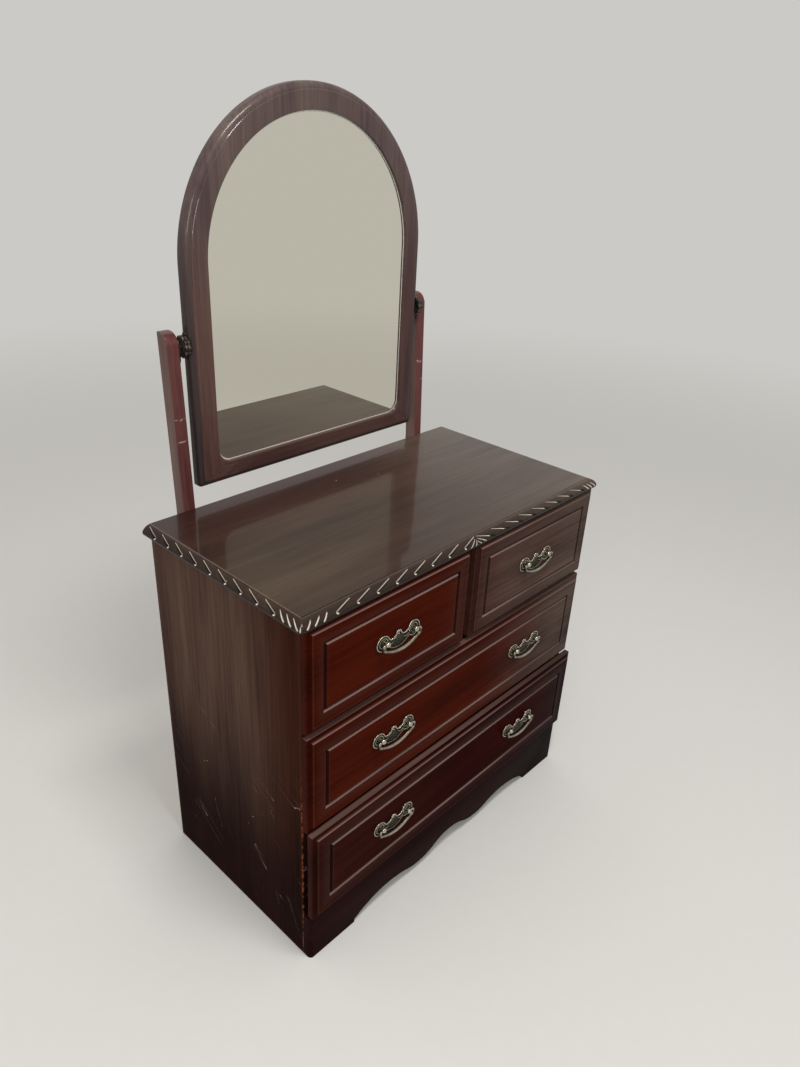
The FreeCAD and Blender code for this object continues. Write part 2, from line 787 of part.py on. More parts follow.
def bail_rings():
    # From one pin round its curl, down the arm, along the bow and up the other side to its pin.
    half = size("bail_half")
    curl = size("bail_curl")
    thin = size("bail_end_radius")
    drop = size("bail_drop")
    pin = size("pin_radius")
    outwards = Vector(1, 0, 0)
    pin_end = size("post_spacing") / 2 - size("pin_depth") + 0.5
    stations = [(Vector(pin_end, 0, 0), outwards, pin), (Vector(half - 1, 0, 0), outwards, pin)]
    for angle in (90, 40, 0):
        turn = math.radians(angle)
        centre = Vector(half + curl * math.cos(turn), 0, curl * (math.sin(turn) - 1))
        stations.append((centre, Vector(math.sin(turn), 0, -math.cos(turn)), thin))
    foot = Vector(half + curl, 0, -size("bail_arm"))
    stations.append((foot, Vector(0, 0, -1), thin))
    end = foot - Vector(1, 0, 1) * size("bail_heel")
    sag = drop + end.z
    bow = (end.x ** 2 + sag ** 2) / (2 * sag)
    spread = math.asin(end.x / bow)
    steps = 4
    for count in range(steps + 1):
        turn = spread * (1 - count / steps)
        centre = Vector(bow * math.sin(turn), 0, bow - drop - bow * math.cos(turn))
        swell = (size("bail_mid_radius") - thin) * math.sin(math.pi / 2 * count / steps)
        stations.append((centre, Vector(-math.cos(turn), 0, -math.sin(turn)), thin + swell))
    mirrored = [
        (Vector(-centre.x, 0, centre.z), Vector(along.x, 0, -along.z), radius)
        for centre, along, radius in reversed(stations[:-1])
    ]
    return [bail_ring(*station) for station in stations + mirrored]


def bail_ring(centre, along, radius):
    # An eight-sided section of the bail, square to its path in the upright plane.
    across = Vector(0, 1, 0)
    up = along.cross(across)
    turns = [math.pi / 4 * (count + 0.5) for count in range(8)]
    return [centre + across * (radius * math.cos(turn)) + up * (radius * math.sin(turn)) for turn in turns]


def bail(node, x, y, z):
    # A bow that thickens to its middle, with a pin pointing inwards from each curled end.
    shape = doc.addObject("Part::Feature", node)
    shape.Shape = skin(bail_rings(), flat=False)
    place(shape, x, y, z)
    return keep(node, shape)


def handles(name, centres, front, low):
    # Plates and bails of one drawer. front is the y of the field's face.
    plates = []
    z = f"{low} + handle_lift"
    for count, centre in enumerate(centres):
        plates.append(handle_plate(f"{name}_plate_{count}", centre, front, z))
        side = "" if len(centres) == 1 else ("_left", "_right")[count]
        bail(f"{name}{side}_bail", centre, f"{front} - pin_reach", z)
    if len(plates) == 1:
        keep(f"{name}_handle_plate", plates[0])
    else:
        keep(f"{name}_handle_plates", group(f"{name}_handle_plates", plates))


def drawers():
    edge = "carcass_width / 2 - front_side_gap"
    wall = "carcass_width / 2 - side_thick - box_side_gap"
    near = "panel_thick / 2 + box_side_gap"
    left_edge = "-carcass_width / 2 + front_side_gap"
    left_wall = "-carcass_width / 2 + side_thick + box_side_gap"
    left_near = "-panel_thick / 2 - box_side_gap"
    for name, row, ajar, left, right, box_left, box_right, centres in (
        ("small_left_drawer", 2, "0", left_edge, "-stile_gap", left_wall, left_near, ["-handle_offset"]),
        ("small_right_drawer", 2, "0", "stile_gap", edge, near, wall, ["handle_offset"]),
        ("upper_drawer", 1, "0", left_edge, edge, left_wall, wall, ["-handle_offset", "handle_offset"]),
        ("lower_drawer", 0, "lowest_drawer_ajar", left_edge, edge, left_wall, wall,
         ["-handle_offset", "handle_offset"]),
    ):
        back = f"carcass_front - buffer_gap - {ajar}"
        low = row_bottom(row)
        middle = f"({left} + {right}) / 2"
        drawer_front(f"{name}_front", f"{right} - ({left})", middle, back, low)
        drawer_box(name, box_left, box_right, back, f"{low} + box_lift")
        handles(name, centres, f"{back} - front_thick", low)


# Mirror posts: upright against the back, leaning back above the top


def mirror_posts():
    back = "carcass_front + carcass_depth + back_thick"
    for name, side in (("left", -1), ("right", 1)):
        node = f"mirror_post_{name}"
        body = doc.addObject("PartDesign::Body", node)
        outline = new_sketch(body, "post_outline", role="YZ_Plane")
        post_side_view(outline)
        blank = body.newObject("PartDesign::Pad", "post_blank")
        blank.Profile = outline
        bind(blank, "Length", "post_width")
        blank.Reversed = side < 0
        outer = side * size("post_width")
        dress(body, "Chamfer", "eased_front", blank, "Size", "post_chamfer",
              lambda edge: abs(edge.CenterOfMass.x - outer) < 0.1 and edge.BoundBox.YMin < 1
              and edge.BoundBox.ZLength > 100)
        place(body, f"{side} * post_inner", back, "0")
        keep(node, body)


def post_side_view(sketch):
    # Flat at the back of its top end and rounded down to the front.
    low = size("post_bottom")
    bend = size("chest_height")
    high = size("post_top")
    deep = size("post_depth")
    shoulder = size("post_shoulder")
    curve = shoulder * (1 - math.sqrt(0.5))

    def point(back, level):
        rise = max(0, level - bend) / (high - bend)
        return Vector(back + size("post_lean") * rise, level, 0)

    closed_path(sketch, [
        Part.LineSegment(point(0, low), point(deep, low)),
        Part.LineSegment(point(deep, low), point(deep, bend)),
        Part.LineSegment(point(deep, bend), point(deep, high)),
        Part.LineSegment(point(deep, high), point(shoulder, high)),
        Part.Arc(point(shoulder, high), point(curve, high - curve), point(0, high - shoulder)),
        Part.LineSegment(point(0, high - shoulder), point(0, bend)),
        Part.LineSegment(point(0, bend), point(0, low)),
    ])


# Mirror


def mirror_frame():
    body = doc.addObject("PartDesign::Body", "mirror_frame")
    base = new_sketch(body, "frame_outline", offset="-face_raise")
    arch(base, "mirror_half", "mirror_bottom", "spring_height")
    slab = pad(body, "frame_slab", base, "frame_thick - face_raise", back=True)
    front = size("face_raise")

    def at_front(edge):
        return abs(edge.BoundBox.YMax - front) < 0.01 and abs(edge.BoundBox.YMin - front) < 0.01

    rounded = dress(body, "Fillet", "rounded_edge", slab, "Radius", "edge_round", at_front)
    face = new_sketch(body, "face_outline")
    arch(face, "mirror_half - edge_round - 1", "mirror_bottom + edge_round + 1", "spring_height")
    pad(body, "raised_face", face, "face_raise + 0.01", back=True)
    opening = new_sketch(body, "opening_outline")
    arch(opening, "mirror_half - frame_bar", "mirror_bottom + frame_bottom_bar", "spring_height")
    through = pocket(body, "opening", opening, "frame_thick + 1")
    low = size("mirror_bottom") + size("frame_bottom_bar")
    corners = dress(body, "Fillet", "opening_corners", through, "Radius", "opening_corner",
                    lambda edge: edge.BoundBox.YLength > 20 and abs(edge.CenterOfMass.z - low) < 0.1
                    and abs(edge.CenterOfMass.x) > 100)
    rebate = new_sketch(body, "rebate_outline", offset="-frame_thick")
    arch(rebate, "mirror_half - frame_bar + rebate_width", "mirror_bottom + frame_bottom_bar - rebate_width",
         "spring_height")
    sunk = pocket(body, "rebate", rebate, "frame_thick - frame_lip", back=False)
    doc.recompute()
    if not sunk.Shape.Volume < corners.Shape.Volume or not through.Shape.Volume < rounded.Shape.Volume:
        raise RuntimeError("mirror frame: the opening or the rebate cuts nothing")
    place(body, "0", "carcass_front + mirror_set_back", "0")
    keep("mirror_frame", body)


def arched_sheet(node, y, thick):
    body = doc.addObject("PartDesign::Body", node)
    outline = new_sketch(body, "sheet_outline")
    arch(outline, "mirror_half - frame_bar + rebate_width - glass_play",
         "mirror_bottom + frame_bottom_bar - rebate_width + glass_play", "spring_height")
    pad(body, "sheet", outline, thick, back=True)
    place(body, "0", y, "0")
    keep(node, body)


def rosette(name, x, side):
    # A boss with a toothed rim, as the tightening faces of the movement have.
    body = doc.addObject("PartDesign::Body", name)
    rim = new_sketch(body, "toothed_rim", role="YZ_Plane")
    teeth = 10
    radius = size("rosette_radius")
    valley = radius - size("rosette_tooth")
    corners = []
    for count in range(4 * teeth):
        turn = 2 * math.pi * count / (4 * teeth)
        reach = radius if count % 4 in (0, 1) else valley
        corners.append(Vector(reach * math.cos(turn), reach * math.sin(turn), 0))
    closed_path(rim, [Part.LineSegment(*pair) for pair in zip(corners, corners[1:] + corners[:1])])
    boss = body.newObject("PartDesign::Pad", "boss")
    boss.Profile = rim
    bind(boss, "Length", "rosette_thick")
    boss.Reversed = side < 0
    place(body, x, "carcass_front + pivot_set_back", "pivot_height")
    return body


def movements():
    # Each base sits on a post and carries a pin; each arm sits on the frame and turns on it.
    depth = "carcass_front + pivot_set_back"
    bases = []
    arms = []
    for name, side in (("left", -1), ("right", 1)):
        inward = Vector(-side, 0, 0)
        plate_x = "-post_inner" if side < 0 else "post_inner - movement_plate"
        corner = (plate_x, f"{depth} - base_plate_front", "pivot_height - base_plate_drop")
        plate = board(f"{name}_base_plate", corner,
                      ("movement_plate", "base_plate_width", "base_plate_height"))
        disc = rosette(f"{name}_base_rosette", f"{side} * (post_inner - movement_plate)", -side)
        pin = rod(f"{name}_pin", "movement_pin", "post_inner - mirror_half - movement_end",
                  (f"{side} * post_inner", depth, "pivot_height"), inward)
        bases.append(fuse(f"{name}_base", [plate, disc, pin]))
        arm_x = "-mirror_half - movement_plate" if side < 0 else "mirror_half"
        corner = (arm_x, f"{depth} - arm_plate_front", "pivot_height - arm_plate_height / 2")
        arm_plate = board(f"{name}_arm_plate", corner,
                          ("movement_plate", "arm_plate_width", "arm_plate_height"))
        arm_disc = rosette(f"{name}_arm_rosette", f"{side} * (mirror_half + movement_plate)", side)
        bore = rod(f"{name}_bore", "movement_bore", "movement_plate + rosette_thick + 1",
                   (f"{side} * mirror_half", depth, "pivot_height"), Vector(side, 0, 0))
        arms.append(cut(f"{name}_arm", fuse(f"{name}_arm_blank", [arm_plate, arm_disc]), [bore]))
    keep("movement_bases", group("movement_bases", bases))
    keep("movement_arms", group("movement_arms", arms))


top_board()
carcass()
plinth()
runners()
drawers()
mirror_posts()
mirror_frame()
arched_sheet("mirror_glass", "carcass_front + mirror_set_back + frame_lip", "glass_thick")
arched_sheet("mirror_backboard", "carcass_front + mirror_set_back + frame_lip + glass_thick", "board_thick")
movements()
doc.recompute()

for thing in doc.Objects:
    if "Invalid" in thing.State or "Error" in thing.State:
        raise RuntimeError(f"{thing.Name} failed: {thing.getStatusString()}")
for node, thing in nodes.items():
    if thing.Shape.isNull() or not thing.Shape.isValid() or not thing.Shape.Solids:
        raise RuntimeError(f"{node} has no valid solid")

os.makedirs("parts", exist_ok=True)
for node, thing in nodes.items():
    thing.Shape.exportStep(f"parts/{node}.step")
print(f"{len(nodes)} sub-parts written")
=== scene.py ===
import cmath
import json
import math

import bmesh
import bpy
import numpy as np
from mathutils import Matrix, Vector


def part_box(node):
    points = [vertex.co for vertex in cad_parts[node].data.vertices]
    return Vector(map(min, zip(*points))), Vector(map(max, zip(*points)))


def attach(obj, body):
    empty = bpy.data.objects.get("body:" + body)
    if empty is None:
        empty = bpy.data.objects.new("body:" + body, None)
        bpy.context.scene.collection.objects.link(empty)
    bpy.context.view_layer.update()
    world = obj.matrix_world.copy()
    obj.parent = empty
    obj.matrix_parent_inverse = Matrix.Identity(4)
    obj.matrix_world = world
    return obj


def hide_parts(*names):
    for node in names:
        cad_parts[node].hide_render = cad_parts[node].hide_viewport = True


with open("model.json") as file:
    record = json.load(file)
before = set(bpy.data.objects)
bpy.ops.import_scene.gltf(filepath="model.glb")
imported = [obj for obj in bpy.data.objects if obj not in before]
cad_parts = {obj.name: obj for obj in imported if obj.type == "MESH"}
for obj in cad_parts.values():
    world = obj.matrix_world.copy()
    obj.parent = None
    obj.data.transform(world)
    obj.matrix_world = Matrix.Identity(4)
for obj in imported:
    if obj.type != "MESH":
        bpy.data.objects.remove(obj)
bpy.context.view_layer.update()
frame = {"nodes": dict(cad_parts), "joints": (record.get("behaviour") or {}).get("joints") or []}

mm = 0.001
fullTurn = 2 * math.pi
scene = bpy.context.scene
drawers = "small_left_drawer", "small_right_drawer", "upper_drawer", "lower_drawer"
pivots = {joint["child"]: Vector(joint["pos_m"]) for joint in frame["joints"] if "pos_m" in joint}


def bailsOf(drawer):
    return [body for body in pivots if body.startswith(drawer) and body.endswith("bail")]


# Nodes as sums

class Wire:
    # A socket that takes part in sums: each sum adds its Math node.
    def __init__(self, graph, socket):
        self.graph = graph
        self.socket = socket

    def work(self, operation, *terms):
        return self.graph.add("ShaderNodeMath", {"operation": operation}, dict(enumerate(terms)))

    def __add__(self, other):
        return self.work("ADD", self, other)

    def __sub__(self, other):
        return self.work("SUBTRACT", self, other)

    def __rsub__(self, other):
        return self.work("SUBTRACT", other, self)

    def __mul__(self, other):
        return self.work("MULTIPLY", self, other)

    __radd__ = __add__
    __rmul__ = __mul__

    def bend(self, low, high):  # 0 up to low, 1 from high, smooth between
        return self.graph.add("ShaderNodeMapRange", {"interpolation_type": "SMOOTHSTEP"},
                              {0: self, 1: low, 2: high})

    def away(self, value):  # distance from a value
        return self.work("ABSOLUTE", self - value)


class Graph:
    # A node tree, with one call that adds any of its nodes.
    def __init__(self, tree):
        self.tree = tree
        tree.nodes.clear()

    def add(self, kind, settings=None, sockets=None, outlet=0):
        node = self.tree.nodes.new(kind)
        for key, value in (settings or {}).items():
            setattr(node, key, value)
        for key, value in (sockets or {}).items():
            if isinstance(value, Wire):
                self.tree.links.new(value.socket, node.inputs[key])
            elif node.inputs[key].type == "RGBA":
                node.inputs[key].default_value = (*value, 1)
            else:
                node.inputs[key].default_value = value
        return Wire(self, node.outputs[outlet]) if node.outputs else None


class Finish(Graph):
    # One material.
    def __init__(self, name):
        self.material = bpy.data.materials.new(name)
        self.material.use_nodes = True
        super().__init__(self.material.node_tree)
        self.place = self.add("ShaderNodeTexCoord", outlet="Object")

    def noise(self, scale, detail=3, vector=None, shift=0, turn=None):
        # Fractal noise, with one scale or one for each axis, which turn tilts.
        scale, shift = [(value,) * 3 if np.isscalar(value) else value for value in (scale, shift)]
        way = {"vector_type": "TEXTURE"} if turn else {}
        spread = self.add("ShaderNodeMapping", way, {
            "Vector": vector or self.place, "Location": shift, "Rotation": turn or (0, 0, 0),
            "Scale": tuple(1 / part for part in scale) if turn else scale})
        return self.add("ShaderNodeTexNoise", {}, {"Vector": spread, "Scale": 1, "Detail": detail})

    def figure(self, along, length, width, detail, vector=None, shift=0):
        # Noise drawn out along one axis, as the grain of wood is.
        scale = [1 / width] * 3
        scale[along] = 1 / length
        return self.noise(scale, detail, vector, shift)

    def cells(self, scale):
        # How far each place is from the nearest of the scattered points.
        return self.add("ShaderNodeTexVoronoi", {}, {"Vector": self.place, "Scale": scale},
                        "Distance")

    def specks(self, scale, size, patch, detail, share):
        # Small round spots, in only some patches.
        return (1 - self.cells(scale).bend(*size)) * self.noise(patch, detail).bend(*share)

    def ramp(self, share, stops):
        wire = self.add("ShaderNodeValToRGB", {}, {0: share})
        elements = wire.socket.node.color_ramp.elements
        while len(elements) < len(stops):
            elements.new(1)
        for stop, (position, colour) in zip(elements, stops):
            stop.position = position
            stop.color = (*colour, 1)
        return wire

    def mix(self, share, first, second):
        return self.add("ShaderNodeMix", {"data_type": "RGBA"}, {0: share, 6: first, 7: second}, 2)

    def mark(self, name, outlet="Fac"):  # an attribute of the piece
        return self.add("ShaderNodeAttribute", {"attribute_name": name}, outlet=outlet)

    def axis(self, letter, vector=None):
        return self.add("ShaderNodeSeparateXYZ", {}, {0: vector or self.place}, letter)

    def surface(self, sockets, height=None, depth=0, strength=0):
        if height is not None:
            sockets["Normal"] = self.add("ShaderNodeBump", {}, {
                "Height": height, "Distance": depth, "Strength": strength})
        shader = self.add("ShaderNodeBsdfPrincipled", {}, sockets)
        self.add("ShaderNodeOutputMaterial", {}, {"Surface": shader})
        return self.material


# Finishes

lacquer = {
    "dark": (0.50, 0.46, 0.55),  # shares of a finish's own tone
    "light": (1.60, 1.75, 1.60),
    "pore": 0.4,
    # share of its own tone that the painted shade darkens to
    "paintedShade": 0.10,
    "figure": [  # length, width, detail and shift of each layer of grain
        (0.45, 0.075, 2, 0), (0.16, 0.006, 4, 3.1), (0.05, 0.0012, 3, 7.7),
        (0.012, 0.0005, 2, 1.3)],
    "pores": (0.62, 0.72),
    "worn": (0.62, 0.86),
    "wornFade": 0.12,
    # which arrises face upwards enough for the painted highlight, and how it fades to the right
    "highlightFacing": (0.12, 0.6),
    "highlightFade": (0, 0.3),
    "bare": (0.19, 0.050, 0.022),
    # cream of the painted highlight in the carved cuts
    "paintedGleam": (0.66, 0.58, 0.48),
    "scratch": (0.42, 0.33, 0.27),
    "knock": (0.46, 0.36, 0.32),
    "fleck": (0.62, 0.58, 0.52),
    "roughness": 0.26,
    "coatRoughness": 0.07,
}
marring = {
    "scratches": [(-0.85, 2.0), (-1.05, 5.3), (-0.35, 9.1)],  # tilt and shift of each set
    "scratchWidth": (0.0005, 0.0018),
    "scratchPatches": (0.58, 0.64),
    "scratchLevels": (0.24, 0.50),
    "chips": (70, (0.05, 0.11), 13, 2, (0.60, 0.68)),
    "knockLevels": (0.828, 0.866),
    "knockWidth": (0.0006, 0.002),
    "flecks": (34, (0.018, 0.045), 16, 2, (0.56, 0.62)),
}
rawWood = {"pale": (0.34, 0.19, 0.105), "dark": (0.21, 0.105, 0.055), "roughness": 0.62}
drawerWood = {"pale": (0.60, 0.44, 0.27), "dark": (0.43, 0.28, 0.155), "roughness": 0.5}
plyWood = {"pale": (0.40, 0.235, 0.135), "dark": (0.27, 0.145, 0.08), "roughness": 0.6}
brass = {
    "recess": (0.16, (0.016, 0.014, 0.010)),
    "web": (0.34, (0.095, 0.086, 0.062)),
    "middle": (0.56, (0.20, 0.176, 0.130)),
    # rubbed brass, also the top of the painted highlights
    "rubAndHighlight": (0.86, (0.57, 0.525, 0.435)),
}
silver = {"tint": (0.80, 0.775, 0.68), "speck": (0.62, 0.63, 0.60)}
mottled = {
    "dark_bronze_metal": {
        "scale": 180, "detail": 4, "metallic": 0.9, "roughness": 0.34, "bump": (0.1 * mm, 0.5),
        "stops": [(0.35, (0.035, 0.03, 0.026)), (0.7, (0.12, 0.10, 0.08))]},
    "screw_steel": {
        "scale": 300, "detail": 3, "metallic": 1.0, "roughness": 0.3, "bump": (0.05 * mm, 0.4),
        "stops": [(0.3, (0.30, 0.28, 0.24)), (0.7, (0.55, 0.52, 0.46))]},
    # a flat pale ring where the mirror's bevelled edge would shine: painted highlight
    "mirror_edge_highlight": {
        "scale": 900, "detail": 2, "metallic": 0.3, "roughness": 0.25, "bump": None,
        "stops": [(0.3, (0.62, 0.62, 0.57)), (0.7, (0.74, 0.74, 0.68))]},
}


def dimmed(tone, share):
    return tuple(part * share for part in tone)


def mahogany(name, grain, tone, specular, coat, *fades, polish=0.9, wornBelow=None, scuffs=None,
             raw=None, paintedHighlight=None):
    # Red-brown stained wood under gloss lacquer. Its figure runs along axis grain, or, for
    # "own", as the piece's grain attribute says. Each fade (axis or attribute, level, level,
    # tone) changes the tone between two levels; the callers use fades for painted reflections
    # and painted shade as well as real tone. polish is the extra gloss of arrises, raw (axis,
    # level, level) leaves bare wood, and the last argument is the tone of a painted highlight
    # on the arrises that face upwards.
    finish = Finish(name)
    vector = finish.mark("grain", "Vector") if grain == "own" else None
    along = 0 if grain == "own" else "xyz".index(grain)
    broad, streak, fine, pores = [finish.figure(along, length, width, detail, vector, shift)
                                  for length, width, detail, shift in lacquer["figure"]]
    depth = broad * 0.55 + streak * 0.3 + fine * 0.2

    def shaded(middle):
        dark, light = [tuple(np.multiply(middle, lacquer[key])) for key in ("dark", "light")]
        return finish.ramp(depth, [(0.36, dark), (0.52, middle), (0.72, light)])

    colour = shaded(tone)
    for source, near, far, other in fades:
        blend = (finish.axis(source) if source in "XYZ" else finish.mark(source)).bend(near, far)
        colour = finish.mix(blend, colour, shaded(other))
    colour = finish.mix(pores.bend(*lacquer["pores"]) * 0.5, colour, dimmed(tone, lacquer["pore"]))
    worn = (finish.mark("wear") * (finish.noise(90, 4) * 1.3 + 0.1)).bend(*lacquer["worn"])
    if wornBelow:
        worn = worn * (1 - finish.axis("Z").bend(wornBelow - lacquer["wornFade"], wornBelow))
    colour = finish.mix(worn * 0.85, colour, lacquer["bare"])
    # Painted shade: the shade attribute darkens the tone where shade falls in cuts, coves and
    # grooves, and takes the coat off there.
    paintedShade, arris = finish.mark("paintedShade"), finish.mark("arris")
    colour = finish.mix(paintedShade * 0.88, colour, dimmed(tone, lacquer["paintedShade"]))
    # Painted highlight: arrises that face upwards take a paler tone, half as much towards the
    # right.
    if paintedHighlight:
        normal = finish.add("ShaderNodeNewGeometry", outlet="Normal")
        upwards = finish.axis("Z", normal).bend(*lacquer["highlightFacing"])
        right = finish.axis("X").bend(*lacquer["highlightFade"])
        share = upwards * arris * (0.55 + streak * 0.5) * (1 - right * 0.5)
        colour = finish.mix(share, colour, paintedHighlight)
    # Painted highlight: the gleam attribute lays a pale cream line into the carved cuts.
    colour = finish.mix(finish.mark("gleam"), colour, lacquer["paintedGleam"])
    roughness = lacquer["roughness"] + finish.noise(9, 5) * 0.12 + worn * 0.3
    coat = (coat + arris * polish - worn * 0.3) * (1 - paintedShade)
    if scuffs:
        colour, roughness, coat = scuffs(finish, colour, roughness, coat)
    if raw:
        letter, low, high = raw
        bare = finish.axis(letter).bend(low, high)
        wood = woodColour(finish, "z" if letter == "X" else "x", rawWood)
        colour = finish.mix(bare, colour, wood)
        roughness = roughness + bare * 0.4
        coat = coat - bare * coat
    return finish.surface({
        "Base Color": colour, "Roughness": roughness, "Coat Weight": coat,
        "Coat Roughness": lacquer["coatRoughness"], "Specular IOR Level": specular,
    }, streak * 0.25 + fine * 0.3 + pores * 0.45, 0.05 * mm, 0.25)


def scratched(finish, colour, roughness, coat):
    # Long fine scratches and white chips, thickest low down.
    lines = []
    for tilt, shift in marring["scratches"]:
        turn = (tilt, 0, 0)
        wander = finish.noise((3, 30, 2), 1, shift=shift, turn=turn).away(0.5)
        present = finish.noise((4, 11, 9), 2, shift=(shift + 4, shift, shift), turn=turn)
        lines.append((1 - wander.bend(*marring["scratchWidth"]))
                     * present.bend(*marring["scratchPatches"]))
    low = 1 - finish.axis("Z").bend(*marring["scratchLevels"])
    chips = finish.specks(*marring["chips"])
    marks = (sum(lines) * low * 0.62 + chips * (0.2 + low * 0.8)).bend(0.02, 0.9)
    colour = finish.mix(marks, colour, lacquer["scratch"])
    return colour, roughness + marks * 0.3, coat - marks * 0.5


def knocked(finish, colour, roughness, coat):
    # Two pale knocks across the show face of the posts.
    height = finish.axis("Z") + finish.noise(70, 2) * 0.014
    first, second = [height.away(level).bend(*marring["knockWidth"])
                     for level in marring["knockLevels"]]
    marks = (2 - first - second) * finish.noise(150, 3).bend(0.44, 0.58) * finish.mark("show")
    return finish.mix(marks * 0.6, colour, lacquer["knock"]), roughness + marks * 0.3, coat


def flecked(finish, colour, roughness, coat):
    # A few pale specks.
    marks = finish.specks(*marring["flecks"])
    colour = finish.mix(marks * 0.8, colour, lacquer["fleck"])
    return colour, roughness + marks * 0.3, coat - marks * 0.4


def woodColour(finish, grain, shades):
    # Bare wood between its dark and its pale shade.
    broad, streak, fine = [finish.figure("xyz".index(grain), length, width, 3)
                           for length, width in ((0.6, 0.05), (0.2, 0.005), (0.02, 0.0007))]
    return finish.ramp(broad * 0.45 + streak * 0.4 + fine * 0.2,
                       [(0.38, shades["dark"]), (0.68, shades["pale"])])


def plainWood(name, grain, shades):
    # Unpolished wood with a faint stain.
    finish = Finish(name)
    stain = finish.noise(6, 4).bend(0.55, 0.75)
    colour = finish.mix(stain * 0.25, woodColour(finish, grain, shades), shades["dark"])
    lines = finish.figure("xyz".index(grain), 1 / 30, 1 / 1400, 2)
    return finish.surface({
        "Base Color": colour, "Roughness": shades["roughness"] + lines * 0.15,
        "Specular IOR Level": 0.35,
    }, lines, 0.08 * mm, 0.5)


def antiqueBrass(name, stippled):
    # Cast brass, dark in its hollows and rubbed bright on what stands proud, with a painted
    # highlight on the foremost parts of the plates and along the front of the bails.
    finish = Finish(name)
    mottle, rubAndHighlight = finish.noise(260, 4), finish.mark("rubAndHighlight")
    rub = rubAndHighlight * 0.9 + mottle * 0.35 - 0.18
    height = mottle * 0.35
    if stippled:
        height = height + finish.cells(1150).bend(0.1, 0.6) * (1 - rubAndHighlight.bend(0.35, 0.6)) * 1.4
    return finish.surface({
        "Base Color": finish.ramp(rub, list(brass.values())), "Metallic": 1,
        "Roughness": 0.42 - rub.bend(0.2, 0.9) * 0.2,
    }, height, 0.12 * mm, 0.7)


def silvered(name):
    # Mirror glass, with faint cleaning smears that only touch its gloss.
    finish = Finish(name)
    smear = finish.noise((7, 7, 22), 5, turn=(0, 0.6, 0)).bend(0.5, 0.8)
    specks = finish.specks(55, (0.02, 0.05), 20, 1, (0.62, 0.66))
    return finish.surface({
        "Base Color": finish.mix(specks * 0.5, silver["tint"], silver["speck"]), "Metallic": 1,
        "Roughness": 0.008 + smear * 0.03 + specks * 0.2,
    })


def mottledFinish(name):
    # Bronze, steel, and the painted highlight round the mirror sheet.
    values = mottled[name]
    finish = Finish(name)
    mottle = finish.noise(values["scale"], values["detail"])
    bump = (mottle, *values["bump"]) if values["bump"] else ()
    return finish.surface({
        "Base Color": finish.ramp(mottle, values["stops"]), "Metallic": values["metallic"],
        "Roughness": values["roughness"] + mottle * 0.2,
    }, *bump)


# Lines

def quarter(steps):
    # The sine and cosine of even steps over a quarter turn.
    return [(math.sin(turn), math.cos(turn)) for turn in np.linspace(0, math.pi / 2, steps + 1)]


def circle(count, radius=1.0, centre=(0, 0), lobes=0, scallop=0):
    # Points round a circle or a lobed disc.
    turns = np.linspace(0, fullTurn, count, endpoint=False)
    reach = radius + scallop * np.cos(lobes * turns)
    return list(zip(centre[0] + reach * np.cos(turns), centre[1] + reach * np.sin(turns)))


def arcThrough(start, middle, end, count):
    # Points along the circle through three points, without the last.
    a, b, c = (complex(*point) for point in (start, middle, end))
    ratio = (c - a) / (b - a)
    centre = a + (b - a) * (ratio - abs(ratio) ** 2) / (2j * ratio.imag)
    half, turn = (cmath.phase((point - centre) / (a - centre)) % fullTurn for point in (b, c))
    if half > turn:
        turn -= fullTurn
    points = [centre + (a - centre) * cmath.exp(1j * turn * step / count) for step in range(count)]
    return [(point.real, point.imag) for point in points]


def unit(vectors):
    return vectors / np.maximum(np.linalg.norm(vectors, axis=-1, keepdims=True), 1e-9)


def runOf(line):
    # Distance along a line at each of its points.
    return np.concatenate([[0], np.cumsum(np.linalg.norm(np.diff(line, axis=0), axis=1))])


def spaced(points, spacing, closed=True):
    # The same line with even steps.
    line = np.array([*points, points[0]] if closed else points)
    run = runOf(line)
    even = np.linspace(0, run[-1], int(run[-1] / spacing), endpoint=not closed)
    return np.stack([np.interp(even, run, line[:, axis]) for axis in (0, 1)], 1)


def drawnIn(loop, amount):
    # A closed anticlockwise line moved inwards.
    ahead = unit(np.roll(loop, -1, 0) - np.roll(loop, 1, 0))
    return loop + np.stack([-ahead[:, 1], ahead[:, 0]], 1) * amount


# Meshes

def link(name, data):
    thing = bpy.data.objects.new(name, data)
    scene.collection.objects.link(thing)
    return thing


def newPiece(name, mesh, finish, sharpAngle=32):
    mesh.materials.append(finish)
    mesh.shade_smooth()
    mesh.set_sharp_from_angle(angle=math.radians(sharpAngle))
    return link(name, mesh)


def settle(piece, body, slot, *nodes):
    # Hangs a piece on the empty of its body and hides the CAD nodes it stands for. slot is not
    # used.
    if nodes:
        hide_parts(*nodes)
    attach(piece, body)


def meshOf(name, points, faces):
    mesh = bpy.data.meshes.new(name)
    mesh.from_pydata([tuple(map(float, point)) for point in points], [], faces)
    mesh.update()
    return mesh


def meshFrom(shape, name):
    bmesh.ops.recalc_face_normals(shape, faces=shape.faces)
    mesh = bpy.data.meshes.new(name)
    shape.to_mesh(mesh)
    shape.free()
    return mesh


def evaluated(thing):
    # The mesh that an object's modifiers make of it; the object goes.
    graph = bpy.context.evaluated_depsgraph_get()
    mesh = bpy.data.meshes.new_from_object(thing.evaluated_get(graph))
    bpy.data.objects.remove(thing)
    return mesh


def outwards(mesh, merge=True):
    # Merges points that meet and turns every face outwards.
    shape = bmesh.new()
    shape.from_mesh(mesh)
    if merge:
        bmesh.ops.remove_doubles(shape, verts=shape.verts, dist=1e-6)
    bmesh.ops.recalc_face_normals(shape, faces=shape.faces)
    shape.to_mesh(mesh)
    shape.free()


